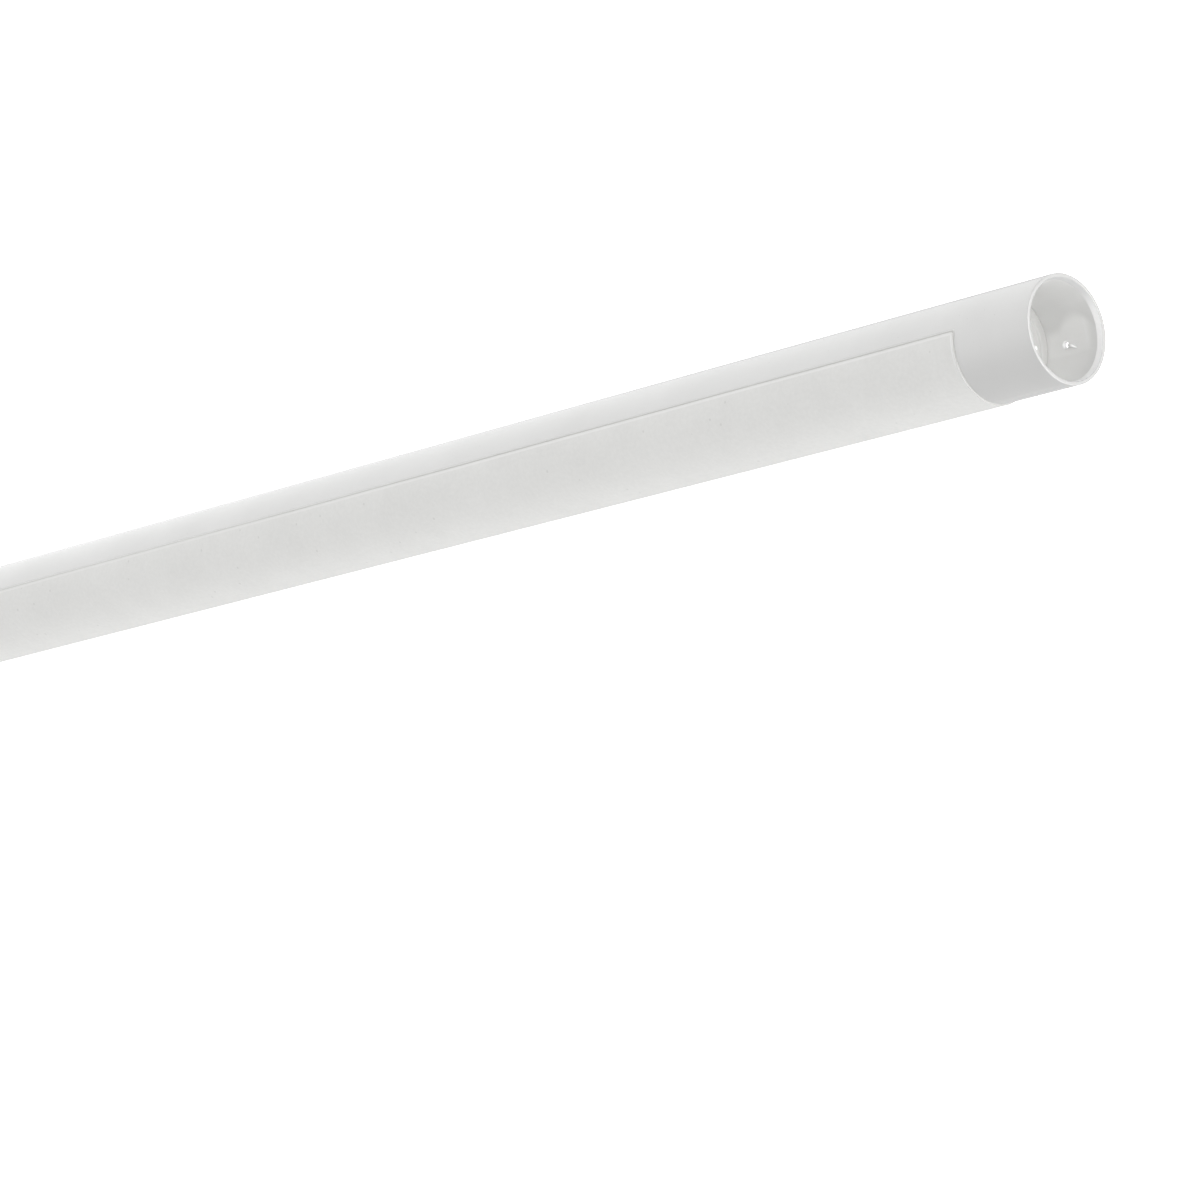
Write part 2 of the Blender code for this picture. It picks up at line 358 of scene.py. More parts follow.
def levels(tree: Tree, factor: Socket, low: float, high: float,
           to_low: float = 0.0, to_high: float = 1.0) -> Socket:
    """Carry a value from one range to another, clamped, and return it.

    Args:
        tree: The node tree.
        factor: The value to carry over.
        low: Where the first range starts.
        high: Where it ends.
        to_low: What its start becomes.
        to_high: What its end becomes.

    Returns:
        The new value's socket.
    """
    made = add(tree, "ShaderNodeMapRange", {"clamp": True}, i0=factor, i1=low, i2=high,
               i3=to_low, i4=to_high)
    return made.outputs[0]


def maths(tree: Tree, operation: str, first: object,
          second: object = 0.0) -> Socket:
    """Add one Math node and return its value."""
    return add(tree, "ShaderNodeMath", {"operation": operation}, i0=first, i1=second).outputs[0]


def blend_colours(tree: Tree, factor: object, first: object, second: object,
                  how: str = "MIX") -> Socket:
    """Mix two colours and return the result."""
    settings = {"data_type": "RGBA", "blend_type": how}
    return add(tree, "ShaderNodeMix", settings, i0=factor, i6=first, i7=second).outputs[2]


class Grain(Enum):
    """The kinds of surface pattern that the finishes draw."""

    NOISE = "ShaderNodeTexNoise"
    CELLS = "ShaderNodeTexVoronoi"
    BANDS = "ShaderNodeTexWave"


@dataclass(frozen=True)
class Finish:
    """A finish that other finishes start from: one Principled shader, and a name."""

    name: str = "finish"
    colour: str = "#808080"
    roughness: float = 0.5
    metallic: float = 0.0

    def start(self) -> tuple[Material, Tree, Node]:
        """Make the material and return it with its tree and its shader.

        Returns:
            The material, its node tree and its Principled shader.
        """
        material = bpy.data.materials.new(self.name)
        material.use_nodes = True
        tree = material.node_tree
        shader = tree.nodes["Principled BSDF"]
        shader.inputs["Base Color"].default_value = linear(self.colour)
        shader.inputs["Roughness"].default_value = self.roughness
        shader.inputs["Metallic"].default_value = self.metallic
        return material, tree, shader

    @staticmethod
    def place(tree: Tree, stretch: tuple[float, float, float] = (1, 1, 1)
              ) -> Socket:
        """Return Object coordinates in millimetres from the cane's axis, stretched.

        Args:
            tree: The node tree.
            stretch: Factors along X, Y and Z; a small one draws the pattern out that way.

        Returns:
            The coordinates' socket.
        """
        where = add(tree, "ShaderNodeTexCoord").outputs["Object"]
        per_metre = tuple(1000 * s for s in stretch)
        centre = (0.0, 0.0, -AXIS_HEIGHT * per_metre[2])
        return add(tree, "ShaderNodeMapping", Vector=where, Location=centre,
                   Scale=per_metre).outputs[0]

    @staticmethod
    def mark(tree: Tree) -> Socket:
        """Return the mark that the piece's mesh carries."""
        return add(tree, "ShaderNodeAttribute", {"attribute_name": "mark"}).outputs["Fac"]

    @staticmethod
    def pattern(tree: Tree, grain: Grain, where: Socket,
                spacing_mm: float, **more: float) -> Socket:
        """Draw a pattern whose features repeat about every spacing_mm and return its value."""
        made = add(tree, grain.value, Vector=where, Scale=1.0 / spacing_mm, **more)
        return made.outputs["Distance" if grain is Grain.CELLS else "Fac"]

    @staticmethod
    def bump(tree: Tree, shader: Node,
             *layers: tuple[Socket, float]) -> None:
        """Stack height patterns, each with its depth in millimetres, onto the shader.

        Args:
            tree: The node tree.
            shader: The shader whose normal is set.
            *layers: Pairs of a height socket and its depth in millimetres.
        """
        normal = None
        for height, depth_mm in layers:
            made = add(tree, "ShaderNodeBump", Height=height, Strength=1.0,
                       Distance=depth_mm * MM)
            if normal is not None:
                tree.links.new(normal, made.inputs["Normal"])
            normal = made.outputs[0]
        tree.links.new(normal, shader.inputs["Normal"])

    def make(self) -> Material:
        """Make the plain material."""
        return self.start()[0]


@dataclass(frozen=True)
class SatinEnamel(Finish):
    """Powder-coated aluminium: an even white whose soft highlight is faintly broken.

    Fine orange peel lies over the tube's drawing lines, and a few dust specks lie on top.
    """

    name: str = "satin_white_enamel"
    colour: str = "#D6D6D5"
    roughness: float = 0.25
    metallic: float = 0.1
    peel_mm: float = 0.9
    draw_line_mm: float = 0.25
    speck_mm: float = 1.6

    def make(self) -> Material:
        """Make the enamel.

        Returns:
            The finished material.
        """
        material, tree, shader = self.start()
        here = self.place(tree)
        drawn = self.place(tree, (0.02, 1.0, 1.0))
        cloud = self.pattern(tree, Grain.NOISE, here, 9.0, Detail=3.0)
        lines = self.pattern(tree, Grain.NOISE, drawn, self.draw_line_mm, Detail=2.0)
        specks = self.pattern(tree, Grain.CELLS, here, self.speck_mm, Randomness=1.0)
        dust = levels(tree, specks, 0.035, 0.055, 1.0, 0.0)
        base = ramp(tree, cloud, [(0.3, "#D4D4D3"), (0.7, "#D8D8D7")])
        base = blend_colours(tree, maths(tree, "MULTIPLY", dust, 0.22), base, linear("#9C9B98"))
        tree.links.new(base, shader.inputs["Base Color"])
        rough = levels(tree, lines, 0.3, 0.7, self.roughness - 0.01, self.roughness + 0.015)
        tree.links.new(rough, shader.inputs["Roughness"])
        shader.inputs["IOR"].default_value = 1.6
        peel = self.pattern(tree, Grain.NOISE, here, self.peel_mm, Detail=1.0)
        self.bump(tree, shader, (peel, 0.004))
        return material


@dataclass(frozen=True)
class MillBore(Finish):
    """The tube's inside as drawn: bare aluminium, a flat grey with long faint streaks."""

    name: str = "mill_finish_bore"
    colour: str = "#F5F5F4"
    roughness: float = 0.36
    metallic: float = 0.12
    die_line_mm: float = 0.3

    def make(self) -> Material:
        """Make the bore's finish; its mark is painted light: 0 painted shade, 0.3 plain, 0.5
        painted light, 1 a painted highlight.

        Returns:
            The finished material.
        """
        material, tree, shader = self.start()
        drawn = self.place(tree, (0.03, 1.0, 1.0))
        here = self.place(tree)
        lines = self.pattern(tree, Grain.NOISE, drawn, self.die_line_mm, Detail=3.0)
        smears = self.pattern(tree, Grain.NOISE, here, 2.6, Detail=4.0)
        base = ramp(tree, smears, [(0.35, "#F2F2F1"), (0.65, "#F6F6F5")])
        # The mark's ramp is painted light: darker for painted shade, lighter for painted light and
        # highlight.
        bore_light_mark = self.mark(tree)
        painted_bore_tone = ramp(tree, bore_light_mark, [(0.0, "#DEDEDD"), (0.3, "#EEEEED"), (0.5, "#F7F7F6"),
                                    (1.0, "#FEFEFE")])
        base = blend_colours(tree, 0.65, base, painted_bore_tone)
        tree.links.new(base, shader.inputs["Base Color"])
        rough = levels(tree, smears, 0.3, 0.7, self.roughness - 0.08, self.roughness + 0.1)
        tree.links.new(rough, shader.inputs["Roughness"])
        self.bump(tree, shader, (lines, 0.012))
        return material


@dataclass(frozen=True)
class BeadedFilm(Finish):
    """Retroreflective film: glass beads under a clear top, seen as a fine grain and pale sheen."""

    name: str = "beaded_reflective_film"
    colour: str = "#E7E7E5"
    roughness: float = 0.7
    # Real beads are 0.05 mm across, too fine to show, so they are drawn three times as coarse.
    bead_mm: float = 0.16
    mottle_mm: float = 0.5

    def make(self) -> Material:
        """Make the film; its mark is 0.5 on the sheet, 0 on the cut lip's painted highlight and 1
        on glue with a painted shadow line.

        Returns:
            The finished material.
        """
        material, tree, shader = self.start()
        here = self.place(tree)
        beads = self.pattern(tree, Grain.CELLS, here, self.bead_mm, Randomness=1.0)
        mottle = self.pattern(tree, Grain.NOISE, here, self.mottle_mm, Detail=5.0)
        cloud = self.pattern(tree, Grain.NOISE, here, 7.0, Detail=3.0)
        tone = maths(tree, "ADD", maths(tree, "MULTIPLY", mottle, 0.55),
                     maths(tree, "MULTIPLY", cloud, 0.45))
        base = ramp(tree, tone, [(0.34, "#E4E4E2"), (0.5, "#E7E7E5"), (0.66, "#EAEAE8")])
        specks = self.pattern(tree, Grain.CELLS, here, 2.3, Randomness=1.0)
        dust = levels(tree, specks, 0.06, 0.085, 1.0, 0.0)
        base = blend_colours(tree, maths(tree, "MULTIPLY", dust, 0.16), base, linear("#8F8E8A"))
        edge = self.mark(tree)
        # The pale cut lip is a painted highlight; the dark edge is glue with a painted shadow
        # line.
        base = blend_colours(tree, levels(tree, edge, 0.0, 0.45, 0.8, 0.0), base,
                             linear("#F6F6F5"))
        base = blend_colours(tree, levels(tree, edge, 0.5, 1.0), base, linear("#92918D"))
        tree.links.new(base, shader.inputs["Base Color"])
        self.bump(tree, shader, (beads, 0.004), (mottle, 0.01))
        return material


@dataclass(frozen=True)
class MouldedRubber(Finish):
    """Moulded rubber: matte, near black and finely grained, with grey dust in its hollows."""

    name: str = "moulded_black_rubber"
    colour: str = "#1B1B1C"
    roughness: float = 0.72
    grain_mm: float = 0.22

    def make(self) -> Material:
        """Make the rubber; its mark is 1 at the bottom of a moulded groove.

        Returns:
            The finished material.
        """
        material, tree, shader = self.start()
        here = self.place(tree)
        grain = self.pattern(tree, Grain.NOISE, here, self.grain_mm, Detail=3.0)
        cloud = self.pattern(tree, Grain.NOISE, here, 14.0, Detail=4.0)
        base = ramp(tree, cloud, [(0.3, "#171718"), (0.7, "#222223")])
        groove = self.mark(tree)
        dusty = maths(tree, "MULTIPLY", groove, 0.5)
        base = blend_colours(tree, dusty, base, linear("#3A3937"))
        tree.links.new(base, shader.inputs["Base Color"])
        rough = levels(tree, cloud, 0.3, 0.7, self.roughness - 0.1, self.roughness + 0.08)
        tree.links.new(rough, shader.inputs["Roughness"])
        self.bump(tree, shader, (grain, 0.035))
        return material


@dataclass(frozen=True)
class MouldedNylon(Finish):
    """Injection-moulded nylon: an even spark-eroded grain, seen as a low satin shine."""

    name: str = "moulded_nylon"
    grain_mm: float = 0.12
    roughness: float = 0.45

    def make(self) -> Material:
        """Make the nylon.

        Returns:
            The finished material.
        """
        material, tree, shader = self.start()
        here = self.place(tree)
        grain = self.pattern(tree, Grain.NOISE, here, self.grain_mm, Detail=2.0)
        cloud = self.pattern(tree, Grain.NOISE, here, 4.0, Detail=3.0)
        rough = levels(tree, cloud, 0.3, 0.7, self.roughness - 0.06, self.roughness + 0.08)
        tree.links.new(rough, shader.inputs["Roughness"])
        base = blend_colours(tree, levels(tree, cloud, 0.4, 0.8, 0.0, 0.08),
                             linear(self.colour), linear("#8C8C8A"))
        tree.links.new(base, shader.inputs["Base Color"])
        self.bump(tree, shader, (grain, 0.012))
        return material


@dataclass(frozen=True)
class TurnedMetal(Finish):
    """Metal off the lathe: tool rings draw its highlight out, and rubs dull it lengthways."""

    name: str = "turned_aluminium"
    colour: str = "#C7C8CA"
    roughness: float = 0.28
    metallic: float = 1.0
    ring_mm: float = 0.14

    def make(self) -> Material:
        """Make the turned metal.

        Returns:
            The finished material.
        """
        material, tree, shader = self.start()
        rings = self.pattern(tree, Grain.NOISE, self.place(tree, (1.0, 0.02, 0.02)),
                             self.ring_mm, Detail=1.0)
        rubs = self.pattern(tree, Grain.NOISE, self.place(tree, (0.05, 1.0, 1.0)), 0.4,
                            Detail=3.0)
        base = ramp(tree, rubs, [(0.35, "#BFC0C2"), (0.65, "#D0D1D3")])
        base = blend_colours(tree, 0.5, base, linear(self.colour))
        tree.links.new(base, shader.inputs["Base Color"])
        rough = levels(tree, rubs, 0.35, 0.7, self.roughness - 0.04, self.roughness + 0.08)
        tree.links.new(rough, shader.inputs["Roughness"])
        self.bump(tree, shader, (rings, 0.01))
        return material


@dataclass(frozen=True)
class DeburredRim(Finish):
    """The mouth's lead-in: a cut bevel, a painted highlight where its mark is 1."""

    name: str = "deburred_rim_painted_highlight"
    colour: str = "#FCFCFC"
    roughness: float = 0.5
    metallic: float = 0.0
    chatter_mm: float = 0.35

    def make(self) -> Material:
        """Make the cut rim.

        Returns:
            The finished material.
        """
        material, tree, shader = self.start()
        here = self.place(tree)
        chatter = self.pattern(tree, Grain.NOISE, here, self.chatter_mm, Detail=2.0)
        bright = ramp(tree, chatter, [(0.3, "#FBFBFB"), (0.6, "#FEFEFE")])
        # Near white where the mark is 1 is a painted highlight; grey where it is 0 is painted
        # shade.
        cut = self.mark(tree)
        base = blend_colours(tree, cut, linear("#D2D2D2"), bright)
        tree.links.new(base, shader.inputs["Base Color"])
        self.bump(tree, shader, (chatter, 0.006))
        return material


@dataclass(frozen=True)
class BraidedSheath(Finish):
    """Polyester braid over rubber strands: fibrous and matte, with painted shade in the hollows.
    """

    name: str = "braided_elastic_sheath"
    colour: str = "#E2E1DC"
    roughness: float = 0.85
    # Real fibres are 0.02 mm thick, too fine to show, so they are drawn as small bundles.
    fibre_mm: float = 0.08

    def make(self) -> Material:
        """Make the sheath; its mark is 1 on a yarn's crown and 0 between yarns, where shade is
        painted.

        Returns:
            The finished material.
        """
        material, tree, shader = self.start()
        fibres = self.pattern(tree, Grain.NOISE, self.place(tree), self.fibre_mm, Detail=2.0)
        crown = self.mark(tree)
        # Darker between yarns: painted shade.
        base = ramp(tree, crown, [(0.0, "#8E8C86"), (0.45, "#D2D0CA"), (1.0, "#EBEAE5")])
        tree.links.new(base, shader.inputs["Base Color"])
        shader.inputs["Sheen Weight"].default_value = 0.3
        self.bump(tree, shader, (fibres, 0.02))
        return material


class Finishes:
    """Every material that the cane's pieces share, made once."""

    def __init__(self) -> None:
        """Make the materials."""
        self.enamel = SatinEnamel().make()
        self.bore = MillBore().make()
        self.rim = DeburredRim().make()
        self.film = BeadedFilm().make()
        self.rubber = MouldedRubber().make()
        # Black nylon gives a plain satin black, and uncoloured nylon a slightly grey white.
        self.cap = MouldedNylon(name="black_moulded_nylon", colour="#1C1C1D").make()
        self.plug = MouldedNylon(name="natural_moulded_nylon", colour="#D6D6D4").make()
        # Acetal is slippery and a little waxy: warmer and shinier than the nylon.
        self.liner = MouldedNylon(name="natural_acetal", colour="#E9E7E1",
                                  roughness=0.36).make()
        self.spigot = TurnedMetal().make()
        # Stainless rod is darker with a tighter highlight; crimping dulls soft aluminium.
        self.pin = TurnedMetal(name="stainless_pin", colour="#B9B9BB", roughness=0.22).make()
        self.crimp = TurnedMetal(name="crimped_aluminium", colour="#BDBDBF",
                                 roughness=0.38).make()
        self.sheath = BraidedSheath().make()


# ==== the tubes =============================================================================
@dataclass(frozen=True)
class Hole:
    """A round hole drilled through a tube's wall along a radius."""

    x: float
    radius: float
    angle: float = PIN_ANGLE
    ease: float = 0.06 * MM


class TubeFace(IntEnum):
    """The kinds of face on a tube, numbered in the order of its materials."""

    ENAMEL = 0
    BORE = 1
    CUT = 2


@dataclass
class Tube:
    """One drawn tube with its end edges, its drilled hole and its bore."""

    number: int
    hole_radius: float
    columns: int = 96
    ease: float = 0.10 * MM
    lead_in_depth: float = 0.76 * MM
    lead_in_rise: float = 0.185 * MM
    coarse_step: float = 6.0 * MM
    mouth_step: float = 1.0 * MM
    rings: int = 4

    def __post_init__(self) -> None:
        """Read where the tube lies."""
        self.start, self.end = span(f"tube_{self.number}")[:2]
        self.hole = Hole(self.end - PIN_INSET, self.hole_radius)
        self.pitch = TURN / self.columns

    def column_angles(self) -> Array:
        """Return the angle of each of the grid's columns; the first runs through the hole."""
        return self.hole.angle + np.arange(self.columns) * self.pitch

    def block(self) -> int:
        """Return how many grid steps the patch round the hole reaches each way."""
        return math.ceil(1.45 * self.hole_radius / (self.pitch * TUBE_BORE))

    def stations(self) -> Array:
        """Return the grid's places along X: coarse, but one step per column at the hole.

        Returns:
            Places in rising order.
        """
        reach = self.block()
        step = self.pitch * TUBE_RADIUS
        near = self.hole.x + np.arange(-reach, reach + 1) * step
        before = lines_between([self.start + self.ease, near[0]], self.coarse_step)
        after = lines_between([near[-1], self.end - self.lead_in_depth], self.mouth_step)
        return np.concatenate([before[:-1], near, after[1:]])

    def painted_bore_light(self, x: Array, angle: Array) -> Array:
        """Return the bore's painted light near the mouth: 0 painted shade, 0.3 plain, 0.5 painted
        light, 1 a painted highlight.

        A pool of painted light lies round the hole under an arch, with painted shade past it and
        in a band just inside the mouth; the painted highlight is a thin arc, a painted reflection.

        Args:
            x: Places along the cane.
            angle: Angles round the axis.

        Returns:
            The painted light at each point.
        """
        depth = (self.end - x) / MM
        turn = np.degrees(np.mod(angle, TURN))
        arch = 256.0 - 2.2 * np.minimum((depth - 3.6) ** 2, 9.0)
        past = smooth(-9, 5, turn - arch)
        # A pool of painted light round the hole, under the arch.
        patch = smooth(208, 214, turn) * (1 - past)
        patch = patch * smooth(1.3, 2.2, depth) * (1 - smooth(6.2, 7.4, depth))
        # Painted shade: past the arch, and in a band just inside the mouth.
        dull = past * (1 - smooth(300, 330, turn)) + 0.5 * (1 - smooth(0.9, 2.2, depth))
        # A thin arc of painted highlight, standing for a reflection.
        painted_highlight_arc = np.exp(-((depth - 2.5 - 0.3 * np.cos(angle)) / 0.16) ** 2)
        painted_highlight_arc = painted_highlight_arc * smooth(218, 224, turn) * (1 - smooth(240, 250, turn))
        return np.clip(0.3 + 0.2 * patch - 0.3 * np.clip(dull, 0, 1) + 0.4 * painted_highlight_arc, 0, 1)

    def painted_rim_light(self, outline: Array) -> Array:
        """Return the lead-in's painted light: 1 for its painted highlight, fading to 0, painted
        shade, past its upper side.

        Args:
            outline: The rows of (x, radius) that are spun.

        Returns:
            One mark for each row and column.
        """
        turn = np.degrees(np.mod(self.column_angles(), TURN))
        return np.tile(1 - smooth(244, 285, turn), (len(outline), 1))

    def wall(self, radius: float, finish: TubeFace) -> list[Patch]:
        """Return the patches of one side of the wall, with the hole through it.

        The grid leaves out a square block round the hole. The block is filled by rings that
        run in the developed plane from the hole's circle to the block's edge points.

        Args:
            radius: The side's radius: the outer one or the bore's.
            finish: The kind of its faces.

        Returns:
            The sheet with its block left out, and the rings that fill the block.
        """
        x, reach = self.stations(), self.block()
        angles = self.column_angles()
        row = int(np.argmin(abs(x - (self.hole.x - reach * self.pitch * TUBE_RADIUS))))
        offsets = (np.arange(self.columns) + self.columns // 2) % self.columns - self.columns // 2
        rows = np.arange(len(x) - 1)[:, None]
        inside = (rows >= row) & (rows < row + 2 * reach)
        inside = inside & (offsets >= -reach)[None, :] & (offsets < reach)[None, :]
        sheet = Patch(on_axis(x[:, None], radius, angles[None, :]), close_columns=True,
                      finish=finish, mark=self.painted_bore_light(x[:, None], angles[None, :]), keep=~inside)
        round_x, round_angle = self.rings_round(radius)
        rings = Patch(on_axis(round_x, radius, round_angle), close_columns=True, finish=finish,
                      mark=self.painted_bore_light(round_x, round_angle))
        return [sheet, rings]

    def round_block(self) -> tuple[Array, Array]:
        """Walk once round the block's edge, in grid steps from the hole's middle.

        Returns:
            Steps along the tube and steps round it, for each point of the edge.
        """
        reach = self.block()
        side, edge = np.arange(-reach, reach), np.full(2 * reach, reach)
        along = np.concatenate([side, edge, -side, -edge])
        across = np.concatenate([-edge, side, edge, -side])
        return along, across

    def rings_round(self, radius: float) -> tuple[Array, Array]:
        """Return x and angle of rings from the hole's eased edge out to the block's edge.

        Args:
            radius: The radius of the side that the rings lie on.

        Returns:
            The x and the angle of every ring point.
        """
        along, across = self.round_block()
        step = self.pitch * TUBE_RADIUS
        edge_x, edge_angle = along * step, across * self.pitch
        bearing = np.arctan2(across, along)
        circle = self.hole.radius + self.hole.ease
        circle_x = circle * np.cos(bearing)
        circle_angle = circle * np.sin(bearing) / radius
        t = np.linspace(0, 1, self.rings + 1)[:, None]
        dx = circle_x * (1 - t) + edge_x * t
        da = circle_angle * (1 - t) + edge_angle * t
        return self.hole.x + dx, self.hole.angle + da

    def bored(self) -> Patch:
        """Return the hole's own wall, from its outer eased edge to its inner one.

        Returns:
            The patch.
        """
        along, across = self.round_block()
        bearing = np.arctan2(across, along)[None, :]
        ease, hole = self.hole.ease, self.hole.radius
        depth = np.array([TUBE_RADIUS, TUBE_RADIUS - ease * 0.3, TUBE_RADIUS - ease,
                          TUBE_BORE + ease, TUBE_BORE + ease * 0.3, TUBE_BORE])[:, None]
        wide = np.array([hole + ease, hole + ease * 0.3, hole, hole, hole + ease * 0.3,
                         hole + ease])[:, None]
        x = self.hole.x + wide * np.cos(bearing)
        angle = self.hole.angle + wide * np.sin(bearing) / depth
        # Mark 1 gives the hole's wall the rim's painted highlight.
        return Patch(on_axis(x, depth, angle), close_columns=True, finish=TubeFace.CUT,
                     mark=np.ones(x.shape))

    def end_ring(self, outline: Array, finish: TubeFace) -> Patch:
        """Spin an open outline of (x, radius) on the tube's own columns.

        Args:
            outline: Rows of (x, radius).
            finish: The kind of its faces.

        Returns:
            The patch, marked with its painted light.
        """
        points = on_axis(outline[:, 0:1], outline[:, 1:2], self.column_angles()[None, :])
        return Patch(points, close_columns=True, finish=finish, mark=self.painted_rim_light(outline))

    def sliver(self) -> Patch:
        """Return the curl of metal that drilling left on the hole's inner edge.

        It is a tapered round bar along a slightly bent path that rises off the bore.

        Returns:
            The patch.
        """
        t = np.linspace(0, 1, 25)[:, None]
        thick = 0.22 * MM * np.sqrt(np.clip(1 - (2 * t - 1) ** 2, 0, None)) * (1.15 - 0.5 * t)
        x = self.hole.x + 0.30 * MM + 1.45 * MM * t
        angle = self.hole.angle - math.radians(1.0) - math.radians(6.0) * t ** 1.3
        rise = 0.05 * MM + 0.16 * MM * np.sin(math.pi * t) ** 2 + 0.10 * MM * t
        bearing = (np.arange(12) * TURN / 12)[None, :]
        across = thick * np.cos(bearing) / TUBE_BORE
        height = thick * 0.5 * np.sin(bearing)
        points = on_axis(x, TUBE_BORE - rise - height, angle + across)
        # Mark 1 gives the curl the rim's painted highlight.
        return Patch(points, close_columns=True, finish=TubeFace.CUT, mark=np.ones((25, 12)))

    def nub(self) -> Patch:
        """Return the nub that the saw left on the mouth's inner edge: a flat egg with a painted
        highlight.

        Returns:
            The patch.
        """
        t = np.linspace(0, math.pi, 13)[:, None]
        bearing = (np.arange(20) * TURN / 20)[None, :]
        x = self.end - 0.02 * MM + 0.10 * MM * np.cos(t)
        radius = TUBE_BORE + 0.16 * MM + 0.14 * MM * np.sin(t) * np.cos(bearing)
        angle = math.radians(71.0) + 0.26 * MM / TUBE_BORE * np.sin(t) * np.sin(bearing)
        return Patch(on_axis(x, radius, angle), close_columns=True, finish=TubeFace.CUT,
                     mark=np.ones((13, 20)))

    def upper_end(self) -> Array:
        """Return the upper end's outline: two quarter rounds and a flat.

        Returns:
            Rows of (x, radius), from the outer wall to the bore.
        """
        t = np.linspace(0, math.pi / 2, 5)
        x, ease = self.start + self.ease, self.ease
        outer = np.stack([x - ease * np.sin(t), TUBE_RADIUS - ease * (1 - np.cos(t))], 1)
        inner = np.stack([x - ease * np.cos(t), TUBE_BORE + ease * (1 - np.sin(t))], 1)
        return np.concatenate([outer, inner])

    def lower_end(self) -> tuple[Array, Array]:
        """Return the lower end's outline: its eased outer edge and face, then its lead-in.

        Returns:
            Rows of (x, radius) for the edge and face, and for the lead-in.
        """
        t = np.linspace(0, math.pi / 2, 6)
        ease, face = self.ease, self.end
        start = np.array([[self.end - self.lead_in_depth, TUBE_RADIUS]])
        outer = np.stack([face - ease * (1 - np.sin(t)), TUBE_RADIUS - ease * (1 - np.cos(t))], 1)
        lip = TUBE_BORE + self.lead_in_rise
        small = 0.05 * MM
        inner = np.stack([face - small * (1 - np.cos(t)), lip + small * (1 - np.sin(t))], 1)
        slope = np.linspace(0, 1, 5)[1:, None]
        foot = np.array([[self.end - self.lead_in_depth, TUBE_BORE]])
        lead = inner[-1:] * (1 - slope) + foot * slope
        return np.concatenate([start, outer, inner]), np.concatenate([inner[-1:], lead])

    def make(self, finishes: Finishes) -> Object:
        """Make the tube that stands for the frame's tube.

        Args:
            finishes: The cane's materials.

        Returns:
            The tube.
        """
        face, lead = self.lower_end()
        patches = [
            *self.wall(TUBE_RADIUS, TubeFace.ENAMEL),
            *self.wall(TUBE_BORE, TubeFace.BORE),
            self.bored(),
            self.end_ring(self.upper_end(), TubeFace.ENAMEL),
            self.end_ring(face, TubeFace.ENAMEL),
            self.end_ring(lead, TubeFace.CUT),
        ]
        slots = [finishes.enamel, finishes.bore, finishes.rim]
        if self.number == SECTIONS[-1]:
            patches += [self.sliver(), self.nub()]
        return assemble(f"drawn_tube_{self.number}", patches, slots)


